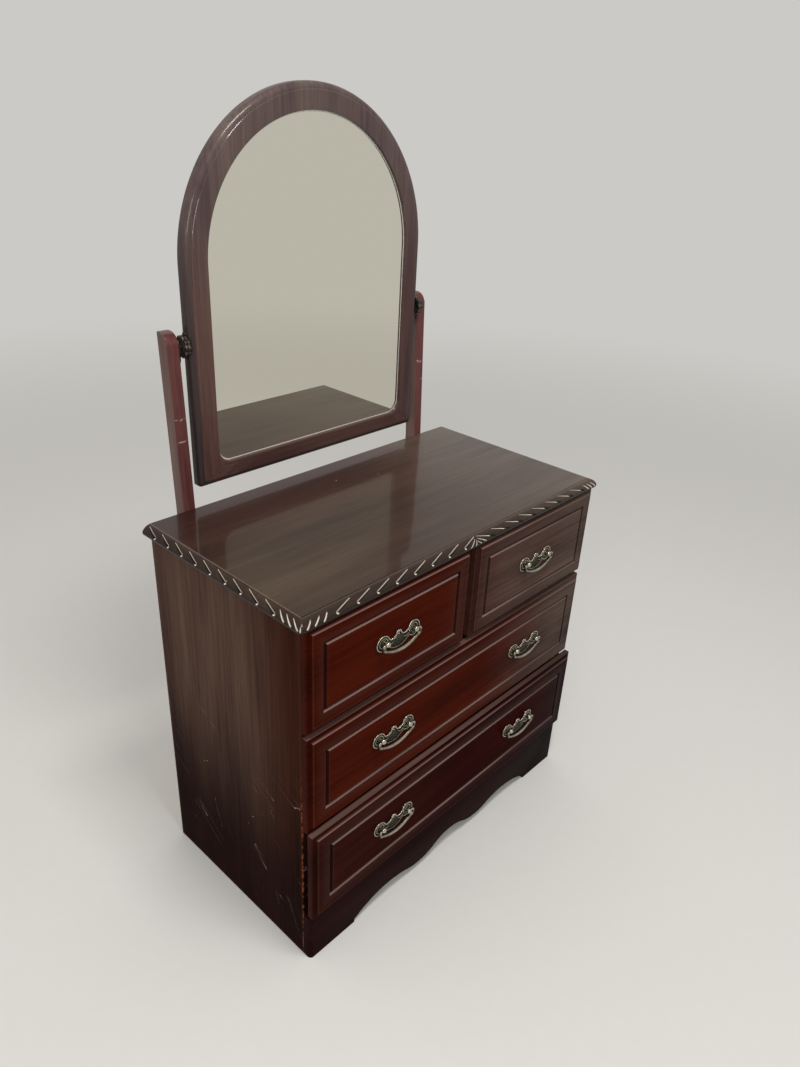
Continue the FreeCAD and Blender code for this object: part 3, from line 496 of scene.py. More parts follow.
def setMark(mesh, name, values, domain="POINT"):
    # A number or a vector for every point or face.
    values = np.asarray(values, np.float32)
    kind, key = ("FLOAT_VECTOR", "vector") if values.ndim > 1 else ("FLOAT", "value")
    mesh.attributes.new(name, kind, domain).data.foreach_set(key, values.ravel())


def numbers(items, key, width, kind=np.float32):
    values = np.empty(len(items) * width, kind)
    items.foreach_get(key, values)
    return values.reshape(-1, width)


def inMetres(mesh, points):
    mesh.vertices.foreach_set("co", (points * mm).astype(np.float32).ravel())
    mesh.update()
    return mesh


def gridFaces(rows, columns, wrapRows=False, wrapColumns=False, caps=False):
    # Four-sided faces over rows of points, with a cap over the first and last row.
    row, column = np.meshgrid(
        np.arange(rows if wrapRows else rows - 1),
        np.arange(columns if wrapColumns else columns - 1), indexing="ij")
    row, column = row.ravel(), column.ravel()
    nextRow, nextColumn = (row + 1) % rows, (column + 1) % columns
    corners = [row * columns + column, row * columns + nextColumn,
               nextRow * columns + nextColumn, nextRow * columns + column]
    faces = np.stack(corners, 1).tolist()
    if caps:
        faces += [list(range(columns)), list(range((rows - 1) * columns, rows * columns))]
    return faces


def skin(shape, rings, closed=False):
    # Faces from ring to ring, with a cap on each end unless they close up.
    rings = [[shape.verts.new(point) for point in ring] for ring in rings]
    size = len(rings[0])
    for near, far in zip(rings, rings[1:] + rings[:1] * closed):
        for step in range(size):
            after = (step + 1) % size
            shape.faces.new((near[step], near[after], far[after], far[step]))
    if not closed:
        shape.faces.new(rings[0])
        shape.faces.new(rings[-1])


def rectangleLoft(name, low, high, axis, facing, profile, finish, worn=False, ceiling=math.inf):
    # A board made of nested rectangles. profile runs from the hidden face to the show
    # face as (inset from the outline, lift from the hidden face, arris, painted shade).
    others = [count for count in range(3) if count != axis]
    base = low[axis] if facing > 0 else high[axis]
    points = []
    for inset, lift in (step[:2] for step in profile):
        for corner in ((0, 0), (1, 0), (1, 1), (0, 1)):
            point = [base + facing * lift] * 3
            for other, far in zip(others, corner):
                point[other] = high[other] - inset if far else low[other] + inset
            points.append((*point[:2], min(point[2], ceiling)))
    mesh = meshOf(name, points, gridFaces(len(profile), 4, wrapColumns=True, caps=True))
    arris = np.repeat([step[2] for step in profile], 4)
    setMark(mesh, "arris", arris)
    # the fourth number of each step is painted shade
    setMark(mesh, "paintedShade", np.repeat([step[3] if len(step) > 3 else 0 for step in profile], 4))
    if worn:
        setMark(mesh, "wear", arris)
    outwards(mesh)
    piece = newPiece(name, mesh, finish)
    sharp = mesh.attributes.get("sharp_edge")
    sharp = sharp or mesh.attributes.new("sharp_edge", "BOOLEAN", "EDGE")
    for edge in mesh.edges:  # the mitres stay crisp
        first, second = (mesh.vertices[index].co for index in edge.vertices)
        if sum(abs(first[other] - second[other]) > 1e-6 for other in others) == 2:
            sharp.data[edge.index].value = True
    return piece


def easedBoard(thick, ease, fade=5 * mm):
    # The profile of a plain board with rounded arrises, worn only at them.
    profile = [(ease + fade, 0, 0)] + [(ease * (1 - s), ease * (1 - c), 0.8) for s, c in quarter(3)]
    side = min(ease + fade, thick / 2 - 0.1 * mm)
    profile += [(0, side, 0), (0, thick - side, 0)]
    profile += [(ease * (1 - s), thick - ease * (1 - c), 1) for s, c in reversed(quarter(3))]
    return profile + [(ease + fade, thick, 0)]


def slab(name, outline, axis, low, high, ease, finish, ends=None, corners=None):
    # An outline in the plane square to axis, drawn out from low to high, with both ends or
    # those at the given levels eased. corners = (test of an edge's middle, radius) rounds
    # edges between the ends.
    shape = bmesh.new()
    skin(shape, [[(*pair[:axis], level, *pair[axis:]) for pair in outline]
                 for level in (low, high)])
    bmesh.ops.recalc_face_normals(shape, faces=shape.faces)

    def bevel(edges, offset, segments):
        bmesh.ops.bevel(shape, geom=edges, offset=offset, segments=segments, profile=0.5,
                        affect="EDGES")

    def atEnd(edge):
        return any(all(abs(vert.co[axis] - level) < 1e-7 for vert in edge.verts)
                   for level in ends or (low, high))

    if corners:
        test, radius = corners
        bevel([edge for edge in shape.edges
               if test((edge.verts[0].co + edge.verts[1].co) / 2)], radius, 8)
    bevel([edge for edge in shape.edges
           if atEnd(edge) and len(edge.link_faces) == 2 and edge.calc_face_angle() > 0.5], ease, 3)
    return newPiece(name, meshFrom(shape, name), finish)


def joined(name, pieces):
    # Several pieces of one finish as one mesh.
    shape = bmesh.new()
    for piece in pieces:
        shape.from_mesh(piece.data)
    mesh = meshFrom(shape, name)
    mesh.materials.append(pieces[0].data.materials[0])
    for piece in pieces:
        bpy.data.objects.remove(piece)
    return link(name, mesh)


# Top board with its rope-carved edge

topSizes = {
    "moulding": 14.5 * mm,
    "nose": [(0.02, 0.982), (0.4, 0.9), (0.8, 0.67), (1.0, 0.4), (0.94, 0.14), (0.7, 0.0)],
    "cornerRadius": 7 * mm,
    "cornerSteps": 18,
    "columnStep": 0.75 * mm,
    "profileStep": 0.62 * mm,
    "leftGouges": {"count": 8, "first": 27.5, "pitch": 40.44, "length": 33, "runs": (4, 16)},
    "rightGouges": {"count": 8, "first": 47.7, "pitch": 40.4, "length": 40.2, "runs": (4.5, 17.8)},
    "sideGouges": {"count": 9, "first": 36, "pitch": 37.8, "length": 31, "runs": (4, 16)},
    "fan": [(1, 9, -14, 21), (3.5, 11, -0.5, 21.5), (5, 14, 13.3, 20.5), (7, 9.5, 26, 20)],
    "nicks": {-1: [(326.3, 335.9), (340.6, 352.3), (356.3, 366.6)],
              1: [(334, 346), (346, 357.5), (358, 369)]},
    "nickRuns": (8.5, 19),
    "sideNicks": [(343.2, 359.8), (357.6, 374.7), (371.9, 389.8)],
    "sideNickRuns": (6, 18),
    "cornerRuns": (12, 19),
    "cuts": {"wall": (2.8, 2.1), "floor": (2.8, 2.1), "nick": (1.8, 1.5), "ray": (1.2, 1.2)},
    # size of the painted highlight lines and dots in the cuts
    "gleamWidth": 0.75 * mm,
    "gleamDot": 1.1 * mm,
    # painted shade by run down the moulding, darkest under the nose
    "shade": ((0, 3, 8, 15, 19, 24), (0, 0.3, 0.45, 0.5, 0.75, 0.95)),
    "wornCorner": 90 * mm,
}


def mouldingProfile(thick):
    # The edge as (out, up), from the flat of the top over a small step and round the nose.
    corners = [(-1.6 * mm, thick), (-0.35 * mm, thick), (0, thick - 0.12 * mm),
               (0.15 * mm, 0.986 * thick)]
    nose = [np.array([out * topSizes["moulding"], up * thick]) for out, up in topSizes["nose"]]
    smooth = []
    padded = [nose[0], *nose, nose[-1]]
    for a, b, c, d in zip(padded, padded[1:], padded[2:], padded[3:]):
        for share in np.linspace(0, 1, 24, endpoint=False):
            smooth.append(0.5 * (2 * b + (c - a) * share + (2 * a - 5 * b + 4 * c - d) * share ** 2
                                 + (3 * b - a - 3 * c + d) * share ** 3))
    even = spaced([*smooth, nose[-1]], topSizes["profileStep"], False)
    profile = np.concatenate([corners, even[1:]])
    run = runOf(profile)
    return profile, run - run[3]


def gougeRow(sizes, kind):
    # Tips and blunt ends of a row of gouges as (place, run, place, run, kind), in millimetres.
    tipRun, bluntRun = sizes["runs"]
    blunts = [sizes["first"] + sizes["pitch"] * count for count in range(sizes["count"])]
    return [(blunt - sizes["length"], tipRun, blunt, bluntRun, kind) for blunt in blunts]


def nicks(places, runs):
    return [(near, runs[0], far, runs[1], "nick") for near, far in places]


def flipped(cuts, end=0):
    # The same cuts counted from the other end.
    return [(end - p, a, end - q, b, kind) for p, a, q, b, kind in cuts]


def carvingCuts(side, half, sideLength):
    # All cuts that one half of the edge shows, by their place from the middle of the front.
    s = topSizes
    front = flipped(gougeRow(s["leftGouges"], "wall")) + gougeRow(s["rightGouges"], "floor")
    front += [(*ray, "ray") for ray in s["fan"]]
    if side < 0:
        front = flipped(front)
    turned = gougeRow(s["sideGouges"], "wall") + nicks(s["sideNicks"], s["sideNickRuns"])
    corner = half / mm
    front += nicks(s["nicks"][side], s["nickRuns"]) + flipped(turned, corner + sideLength / mm)
    return front + nicks([(corner, corner + 0.5)], s["cornerRuns"])


def carvedMarks(place, run, cuts):
    # How deep each (place, run) of the grid is cut, and the painted highlight and painted shade
    # drawn into the cut.
    depth, gleam, paintedShade = [np.zeros_like(place) for count in range(3)]
    thin = topSizes["gleamWidth"]
    for *ends, kind in cuts:
        startPlace, startRun, endPlace, endRun = [part * mm for part in ends]
        halfWidth, deep = [part * mm for part in topSizes["cuts"][kind]]
        lowest, highest = sorted((startPlace, endPlace))
        near = (place > lowest - 5 * mm) & (place < highest + 5 * mm)
        if not near.any():
            continue
        p, s = place[near], run[near]
        du, dv = endPlace - startPlace, endRun - startRun
        size = math.hypot(du, dv)
        upwards = np.array([dv, -du]) * math.copysign(1 / size, du)
        along = ((p - startPlace) * du + (s - startRun) * dv) / size ** 2
        share = np.clip(along, 0, 1)
        away = np.hypot(p - startPlace - share * du, s - startRun - share * dv)
        across = (p - startPlace) * upwards[0] + (s - startRun) * upwards[1]
        width = halfWidth * (0.16 + 0.84 * share ** 0.8)
        ratio = away / width
        cut = deep * (0.25 + 0.75 * share) * np.clip(1 - ratio ** 2, 0, 1)
        depth[near] = np.maximum(depth[near], cut)
        if kind in ("nick", "ray"):  # painted highlight all over
            line = np.clip(1.7 - 1.7 * ratio, 0, 1)
            dark = np.clip(2 - ratio, 0, 1) * 0.8
        elif kind == "wall":  # painted highlight along the wall towards the corner and round the blunt end
            ring = 0.6 * width
            wall = np.abs(np.where(along < 1, across, away) - ring)
            line = np.clip(1.5 - wall / (thin * (0.4 + 0.6 * share)), 0, 1) * (along > 0.04)
            dot = np.hypot(p - endPlace + upwards[0] * ring, s - endRun + upwards[1] * ring)
            line = np.maximum(line, np.clip(1.6 - dot / topSizes["gleamDot"], 0, 1))
            dark = np.clip(2 - 1.3 * ratio, 0, 1) * np.clip(share * 3, 0.4, 1)
        else:  # painted highlight on the floor, with painted shade in the blunt end
            middle = np.abs(across + 0.2 * width)
            line = np.clip(1.5 - middle / (thin * (0.4 + 0.8 * share)), 0, 1) * (along > 0.03)
            line = line * np.clip((0.8 - along) / 0.06, 0, 1)
            dark = np.clip(1.5 - ratio, 0, 1) * np.clip(share * 1.4, 0.3, 1)
        # line is the painted highlight, dark the painted shade of the cut
        gleam[near] = np.maximum(gleam[near], line)
        paintedShade[near] = np.maximum(paintedShade[near], dark)
    return depth, gleam, np.maximum(paintedShade, np.interp(run / mm, *topSizes["shade"]))


def makeTop(finish):
    s = topSizes
    low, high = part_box("top_board")
    half, front, deep = high.x, low.y, high.y - low.y
    radius, width = s["cornerRadius"], s["moulding"]
    profile, run = mouldingProfile(high.z - low.z)
    straight = np.linspace(0, half - radius, int((half - radius) / s["columnStep"]))
    back = np.linspace(radius, deep, int((deep - radius) / s["columnStep"]))
    turns = np.linspace(0, math.pi / 2, s["cornerSteps"] + 1)[1:-1]
    x = np.concatenate([straight, half - radius + radius * np.sin(turns), np.full(len(back), half)])
    y = front + np.concatenate([np.zeros(len(straight)), radius - radius * np.cos(turns), back])
    corner = half - radius + 2 * radius * turns / (math.pi / 2)
    place = np.concatenate([straight, corner, half + back])
    innerX, innerY = np.minimum(x, half - width), np.maximum(y, front + width)
    out = profile[:, 0][:, None] / width
    rise = np.repeat(low.z + profile[:, 1][:, None], len(x), 1)
    grid = np.stack([innerX + (x - innerX) * out, innerY + (y - innerY) * out, rise], 2)
    places, runs = np.broadcast_arrays(place[None, :], run[:, None])
    arris, worn = np.zeros(places.shape), np.zeros(places.shape)
    arris[1:4] = 1
    worn[1:4] = np.clip(1 - np.abs(places[1:4] - half) / s["wornCorner"], 0, 1) ** 0.5
    normal = unit(np.cross(np.gradient(grid, axis=0), np.gradient(grid, axis=1)))
    normal *= np.where((normal * (0.4, -0.6, 0.4)).sum(2, keepdims=True) < 0, -1, 1)
    halves, marks = [], {name: [] for name in ("gleam", "paintedShade", "arris", "wear")}
    for side in (-1, 1):
        # the carving's depth, painted highlight and painted shade
        depth, gleam, paintedShade = carvedMarks(places, runs, carvingCuts(side, half, deep))
        for values in (depth, gleam, paintedShade):
            values[:3] = 0
        carved = grid - normal * depth[..., None]
        carved[..., 0] *= side
        order = slice(None, 0, -1) if side < 0 else slice(None)
        halves.append(carved[:, order])
        for name, values in zip(marks, (gleam, paintedShade, arris, worn)):
            marks[name].append(values[:, order])
    grid = np.concatenate(halves, 1)
    rows, columns = grid.shape[:2]
    rear = np.arange(rows) * columns
    faces = gridFaces(rows, columns, caps=True)
    faces.append([*rear.tolist(), *(rear[::-1] + columns - 1).tolist()])
    mesh = meshOf("carvedTop", grid.reshape(-1, 3), faces)
    for name, pair in marks.items():
        setMark(mesh, name, np.concatenate(pair, 1).ravel())
    outwards(mesh)
    settle(newPiece("carved_top", mesh, finish, 40), "carcass", "mahogany_lacquer", "top_board")


# Drawer fronts

frontSizes = {
    "lipInset": 9 * mm,
    "lipThick": 11 * mm,
    "lipRound": 1.6 * mm,
    "coveRadius": 4 * mm,
    "arrisRound": 1 * mm,
    "grooveInset": {"small": 24 * mm, "upper": 29 * mm, "lower": 29 * mm},
    "grooveHalf": 3.5 * mm,
    "grooveDepth": 2.6 * mm,
    "raise": {"small": (8.5 * mm, 4.5 * mm), "upper": (0, 2.5 * mm), "lower": (0, 2.2 * mm)},
}


def frontProfile(thick, grooveInset):
    s = frontSizes
    lip, inset, rounding, cove, arris = [s[key] for key in (
        "lipThick", "lipInset", "lipRound", "coveRadius", "arrisRound")]
    turns = quarter(4)
    # The fourth number paints shade on the lip's face, the cove, the margin round the field and the
    # groove; the arris number also places the painted highlight of upward arrises.
    profile = [(12 * mm, 0, 0), (0.5 * mm, 0, 0), (0, 0.5 * mm, 0.2), (0, 4 * mm, 0.5, 0.3),
               (0, lip - 3 * mm, 0.55, 0.4)]
    profile += [(rounding * (1 - c), lip - rounding * (1 - s), 0.4, 0.4) for s, c in turns]
    profile.append((2.6 * mm, lip, 0, 0.6))
    profile += [(inset - cove * (1 - s), lip + cove * (1 - c), 0.8 * (step / 4) ** 4, 0.6)
                for step, (s, c) in enumerate(turns)]
    profile += [(inset + arris * (1 - c), thick - arris * (1 - s), 0.8) for s, c in turns]
    profile.append((inset + 3 * mm, thick, 0, 0.3))
    middle = inset + grooveInset
    for share in np.linspace(-1, 1, 13):
        sunk = s["grooveDepth"] * math.cos(share * math.pi / 2) ** 0.8 if abs(share) < 1 else 0
        # bright: gloss and painted highlight on the groove's walls; dark: painted shade across the
        # groove
        bright, dark = 0.95 if abs(share) > 0.2 else 0.3, 0.8 if abs(share) < 0.9 else 0.3
        profile.append((middle + share * s["grooveHalf"], thick - sunk, bright, dark))
    profile.append((middle + s["grooveHalf"] + 3 * mm, thick, 0))
    return profile


def makeDrawerFronts(finishes):
    for body in drawers:
        kind = body.split("_")[0]
        low, high = [corner.copy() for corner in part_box(f"{body}_front")]
        ceiling = high.z if kind == "small" else math.inf
        bottom, top = frontSizes["raise"][kind]
        low.z += bottom
        high.z += top
        profile = frontProfile(high.y - low.y, frontSizes["grooveInset"][kind])
        piece = rectangleLoft(f"{body}_face", low, high, 1, -1, profile, finishes[kind],
                              ceiling=ceiling)
        settle(piece, body, "mahogany_lacquer", f"{body}_front")


# Carcass boards, plinth and posts

boardSizes = {
    "sideEase": 1.6 * mm,
    "plinthEase": 1.4 * mm,
    "plinthCorner": 8 * mm,
    "postEase": 1.6 * mm,
    "postChamfer": 3 * mm,
    "postShoulder": 20 * mm,
    "postLean": 12 * mm,
    "arch": [(261.5, 7), (180, 30), (118, 20.5)],
    "valley": [(118, 20.5), (84, 16.5), (48, 25)],
    "centre": [(48, 25), (0, 38), (-48, 25)],
}


def makeSides(leftFinish, rightFinish):
    for side, facing, finish in (("left", -1, leftFinish), ("right", 1, rightFinish)):
        node = f"side_panel_{side}"
        low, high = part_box(node)
        profile = easedBoard(high.x - low.x, boardSizes["sideEase"])
        piece = rectangleLoft(f"side_board_{side}", low, high, 0, facing, profile, finish, True)
        settle(piece, "carcass", "mahogany_lacquer", node)


def makePlinth(finish):
    low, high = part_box("plinth_front")
    arch, valley, centre = [[(x * mm, z * mm) for x, z in boardSizes[key]]
                            for key in ("arch", "valley", "centre")]
    right = arcThrough(*arch, 28) + arcThrough(*valley, 18)
    outline = right + arcThrough(*centre, 28) + [centre[2]] + [(-x, z) for x, z in reversed(right)]
    foot = arch[0][0]
    outline += [(-foot, 0), (low.x, 0), (low.x, high.z), (high.x, high.z), (high.x, 0), (foot, 0)]

    def atCorner(middle):
        return abs(middle.x) > high.x - 1e-6 and middle.y < low.y + 1e-6

    piece = slab("plinth_board", outline, 1, low.y, high.y, boardSizes["plinthEase"], finish,
                 (low.y,), (atCorner, boardSizes["plinthCorner"]))
    settle(piece, "carcass", "mahogany_lacquer", "plinth_front")


def makePosts(finish):
    shoulder, lean = boardSizes["postShoulder"], boardSizes["postLean"]
    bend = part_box("top_board")[1].z
    for side in ("left", "right"):
        node = f"mirror_post_{side}"
        low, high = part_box(node)
        deep = high.y - low.y - lean
        outer = low.x if side == "left" else high.x

        def point(back, level):
            return (low.y + back + lean * max(0, level - bend) / (high.z - bend), level)

        def atFront(middle):
            return (abs(middle.x - outer) < 1e-6 and middle.y < low.y + deep / 2
                    and low.z + 1 * mm < middle.z < high.z - shoulder)

        turn = shoulder * (1 - math.sqrt(0.5))
        outline = arcThrough(point(0, high.z - shoulder), point(turn, high.z - turn),
                             point(shoulder, high.z), 12)
        outline += [point(back, level) for back, level in (
            (shoulder, high.z), (deep, high.z), (deep, bend), (deep, low.z), (0, low.z), (0, bend))]
        piece = slab(f"post_{side}", outline, 0, low.x, high.x, boardSizes["postEase"], finish,
                     corners=(atFront, boardSizes["postChamfer"]))
        # show marks the front faces, which take their own tone as painted light by facing, and
        # where the knocks fall
        setMark(piece.data, "show", [face.normal.y < -0.5 for face in piece.data.polygons], "FACE")
        settle(piece, "carcass", "mahogany_lacquer", node)


# Mirror

mirrorSizes = {
    "bar": 41 * mm,
    "bottomBar": 36 * mm,
    "round": 10 * mm,
    "quirk": 1 * mm,
    "lip": 6 * mm,
    "rebate": 8 * mm,
    "outerCorner": 5 * mm,
    "openingCorner": 25 * mm,
    "springHeight": 1093 * mm,
    # width of the painted highlight ring round the sheet
    "edgeLine": 2.2 * mm,
    "footHalf": 215 * mm,
}


def archRing(half, bottom, radius):
    # One closed loop of the arch, from the middle of its foot round to the right.
    spring = mirrorSizes["springHeight"]
    points = [(x, bottom) for x in np.linspace(0, half - radius, 8, endpoint=False)]
    points += [(half - radius * (1 - s), bottom + radius * (1 - c)) for s, c in quarter(9)]
    points += [(half, z) for z in np.linspace(bottom + radius, spring, 14)[1:-1]]
    points += [(half * math.cos(turn), spring + half * math.sin(turn))
               for turn in np.linspace(0, math.pi, 121)]
    return points + [(-x, z) for x, z in reversed(points[1:30])]


def barRing(inset):
    # The loop at an inset from the outline of the frame, whose foot is thinner than its arch.
    s = mirrorSizes
    low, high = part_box("mirror_frame")
    plain = s["round"] + s["quirk"]
    share = max(0, inset - plain) / (s["bar"] - plain)
    bottom = inset if inset < plain else plain + share * (s["bottomBar"] - plain)
    blend = min(1, share) ** 2 * (3 - 2 * min(1, share))
    radius = s["outerCorner"] + (s["openingCorner"] - s["outerCorner"]) * blend
    return archRing(high.x - inset, low.z + bottom, radius)


def loftRings(name, rings, finish, closed):
    # rings: a list of (loop of x and z, y).
    columns = len(rings[0][0])
    points = [(x, y, z) for loop, y in rings for x, z in loop]
    mesh = meshOf(name, points, gridFaces(len(rings), columns, closed, True, not closed))
    foot = min(z for x, y, z in points) + mirrorSizes["bottomBar"]

    def turned(x, y, z):  # the grain of the foot runs across, the rest upwards
        return (x, z, y) if z < foot and abs(x) < mirrorSizes["footHalf"] else (z, x, y)

    setMark(mesh, "grain", [turned(*point) for point in points])
    outwards(mesh, False)
    return newPiece(name, mesh, finish)


def makeMirror(frameFinish, glassFinish, edgeFinish):
    s = mirrorSizes
    low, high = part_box("mirror_frame")
    front, back, bar, lip = low.y, high.y, s["bar"], low.y + s["lip"]
    edge = s["round"] + s["quirk"]
    stations = [(0.8 * mm, back, 0.3), (0, back - 0.8 * mm, 0.3), (0, back - 5 * mm, 0)]
    stations += [(s["round"] * (1 - cosine), front + s["quirk"] + s["round"] * (1 - sine), 0)
                 for sine, cosine in quarter(8)]
    stations += [
        (edge - 0.1 * mm, front + s["quirk"], 0), (edge, front + 0.3 * mm, 0.8),
        (edge + 0.35 * mm, front, 0.8), (edge + 3 * mm, front, 0), (bar - 5 * mm, front, 0),
        (bar - 1 * mm, front, 0.3), (bar - 0.3 * mm, front + 0.3 * mm, 0.5),
        (bar, front + 1 * mm, 0.3), (bar, lip, 0), (bar - s["rebate"], lip, 0),
        (bar - s["rebate"], back, 0)]
    rings = [(barRing(inset), y) for inset, y, wear in stations]
    piece = loftRings("arched_frame", rings, frameFinish, True)
    columns = len(rings[0][0])
    setMark(piece.data, "arris", np.repeat([wear for inset, y, wear in stations], columns))
    # the outer rounding, which takes a painted shade
    rim = [inset < edge - 2 * mm for inset, y, wear in stations]
    setMark(piece.data, "rim", np.repeat(rim, columns))
    settle(piece, "mirror", "mahogany_lacquer", "mirror_frame")

    low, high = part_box("mirror_glass")
    outline = archRing(high.x, low.z, 1 * mm)
    glass = loftRings("mirror_sheet", [
        (outline, high.y), (outline, low.y), (barRing(bar + 0.05 * mm), low.y),
        (barRing(bar + s["edgeLine"]), low.y)], glassFinish, False)
    glass.data.materials.append(edgeFinish)
    for face in glass.data.polygons:  # the painted highlight line round the sheet
        reach = max(abs(glass.data.vertices[index].co.y - low.y) for index in face.vertices)
        if reach < 1e-6 and len(face.vertices) == 4:
            face.material_index = 1
    settle(glass, "mirror", "silvered_glass", "mirror_glass")


# Handles, in millimetres about their pivot line

handleSizes = {
    "lobeRadius": 14.2, "lobeOffset": 34.3, "lobeDrop": 2, "webSag": 22, "dip": (14, -0.8),
    "crownRise": 10, "crownHeight": 6.4, "crownHalf": 6.5,
    "plate": 1.6, "rimInset": 1.25, "rim": 1.05, "rimLift": 1.7,
    "beadInset": 1.3, "beadStep": 3, "bead": 1.5, "beadLift": 2.1,
    "beadWithin": 26, "beadAbove": -6,
    "scrollFrom": 205, "scrollSweep": 350, "scrollReach": 9.9, "scrollIn": 3.4,
    "scrollLift": 1.85, "scrollThick": (1.2, 0.75),
    "eye": (1, 8.4), "eyeRadius": 2.0, "eyeLift": 1.7, "eyeSquash": 0.6,
    "leaf": (23.5, 12.5), "leafDrop": 6.5, "leafSag": 3.2, "leafLift": 1.8,
    "leafThick": (0.35, 0.8),
    "pinReach": 9.5, "postAt": 32,
    "post": [(0, 5.4), (1.9, 5.4), (2.6, 4.3), (3.3, 3.2), (5.0, 3.2), (5.8, 3.8), (6.6, 4.45),
             (8.0, 4.8), (9.6, 4.95), (11.6, 4.5), (13.0, 3.3), (13.9, 1.6), (14.2, 0.3)],
    "crownBosses": [(0, 7.3, 2.5), (4.3, 5.4, 2.0), (-4.3, 5.4, 2.0), (0, 2.4, 1.6)],
    "bossLift": 2.0, "bossSquash": 0.75, "voxel": 0.4,
    # plateShine sets the rubbed brightness of what stands proud; the last entry adds a painted
    # highlight on the foremost parts
    "blurSteps": 14, "plateShine": (0.34, 2.6), "forwardHighlight": (1.9, 6, 0.35),
    "bailHalf": 38.5, "bailCurl": 3, "bailArm": 7.5, "bailHeel": 2.5, "bailDrop": 21.5,
    "bailMiddle": 3.5, "bailEnd": 2.3, "pin": 1.6,
}


def plateOutline():
    # Two round ends, a web and a crown.
    h = handleSizes

    def lobe(degrees):
        turn = math.radians(degrees)
        return (h["lobeOffset"] + h["lobeRadius"] * math.cos(turn),
                h["lobeRadius"] * math.sin(turn) - h["lobeDrop"])

    below, above, rise = lobe(-134), lobe(150), h["crownRise"]
    shoulder = (h["crownHalf"], rise - h["crownHeight"])
    half = arcThrough((-below[0], below[1]), (0, -h["webSag"]), below, 28)[14:]
    half += arcThrough(below, lobe(0), above, 60) + arcThrough(above, h["dip"], shoulder, 18)
    half += arcThrough(shoulder, (0, rise), (-shoulder[0], shoulder[1]), 20)[:10]
    half.append((0, rise))
    return half + [(-x, z) for x, z in reversed(half[1:-1])]


def addBall(shape, centre, radius, squash=1.0):
    matrix = Matrix.Translation(centre) @ Matrix.Diagonal((radius, radius * squash, radius, 1))
    bmesh.ops.create_uvsphere(shape, u_segments=16, v_segments=8, radius=1, matrix=matrix)


def addTube(shape, path, radius, closed=False):
    # A round bar along a path of (x, y, z), with one radius or one for each point.
    path = np.array(path, float)
    side = np.array([0.0, 1.0, 0.0])
    way = np.roll(path, -1, 0) - np.roll(path, 1, 0) if closed else np.gradient(path, axis=0)
    up = unit(np.cross(unit(way), side))
    radii = np.broadcast_to(radius, len(path))[:, None]
    skin(shape, np.stack([path + radii * (c * side + s * up) for c, s in circle(16)], 1), closed)


def raisedMark(mesh, reach):
    # How far each point stands proud of its surroundings.
    points = numbers(mesh.vertices, "co", 3)
    a, b = numbers(mesh.edges, "vertices", 2, np.int32).T
    degree = np.bincount(a, minlength=len(points)) + np.bincount(b, minlength=len(points))

    def blurred(values, steps):
        for step in range(steps):
            total = np.zeros_like(values)
            np.add.at(total, a, values[b])
            np.add.at(total, b, values[a])
            values = 0.5 * values + 0.5 * total / np.maximum(degree, 1)[:, None]
        return values

    proud = (points - blurred(points, reach)) * numbers(mesh.vertices, "normal", 3)
    return blurred(proud.sum(1)[:, None], 2)[:, 0]


def plateMesh():
    # One cast handle plate, made solid by remeshing.
    h = handleSizes
    loop = spaced(plateOutline(), 1.0)
    shape = bmesh.new()
    skin(shape, [[(x, y, z) for x, z in loop] for y in (-h["plate"], 0)])
    edge = drawnIn(loop, h["rimInset"])
    addTube(shape, [(x, -h["rimLift"], z) for x, z in edge], h["rim"], True)
    for x, z in spaced(drawnIn(loop, h["beadInset"]), h["beadStep"]):
        if abs(x) < h["beadWithin"] and z > h["beadAbove"]:  # along the dips and the crown
            addBall(shape, (x, -h["beadLift"], z), h["bead"])
    for side in (-1, 1):
        centreX, centreZ = side * h["lobeOffset"], -h["lobeDrop"]
        spiral = []
        for share in np.linspace(0, 1, 44):
            turn = math.radians(h["scrollFrom"] - h["scrollSweep"] * share)
            reach = h["scrollReach"] - h["scrollIn"] * share
            spiral.append((centreX + side * reach * math.cos(turn), -h["scrollLift"],
                           centreZ + reach * math.sin(turn)))
        addTube(shape, spiral, np.linspace(*h["scrollThick"], 44))
        addBall(shape, (centreX - side * h["eye"][0], -h["eyeLift"], centreZ - h["eye"][1]),
                h["eyeRadius"], h["eyeSquash"])
        skin(shape, [[(side * h["postAt"] + x, -reach, z) for x, z in circle(24, radius)]
                     for reach, radius in h["post"]])
        leaf = [(side * (h["leaf"][0] - h["leaf"][1] * share), -h["leafLift"],
                 -h["leafDrop"] - h["leafSag"] * math.sin(share * math.pi * 0.9))
                for share in np.linspace(0, 1, 22)]
        swell = np.sin(np.linspace(0.15, 1, 22) * math.pi * 0.95)
        addTube(shape, leaf, h["leafThick"][0] + h["leafThick"][1] * swell)
    for x, z, radius in h["crownBosses"]:
        addBall(shape, (x, -h["bossLift"], z), radius, h["bossSquash"])
    caster = link("caster", meshFrom(shape, "handlePlate"))
    remesh = caster.modifiers.new("cast", "REMESH")
    remesh.mode = "VOXEL"
    remesh.voxel_size = h["voxel"]
    smooth = caster.modifiers.new("soften", "SMOOTH")
    smooth.factor = 0.5
    smooth.iterations = 2
    cast = evaluated(caster)
    points = numbers(cast.vertices, "co", 3)
    # painted highlight: the foremost parts, such as the balls of the posts, are made brighter
    start, reach, most = h["forwardHighlight"]
    forward = np.clip((-points[:, 1] - start) / reach, 0, most)
    base, gain = h["plateShine"]
    shine = base + raisedMark(cast, h["blurSteps"]) * gain + forward
    setMark(cast, "rubAndHighlight", np.clip(shine, 0, 1))
    points[:, 1] = np.minimum(points[:, 1], 0)
    return inMetres(cast, points)


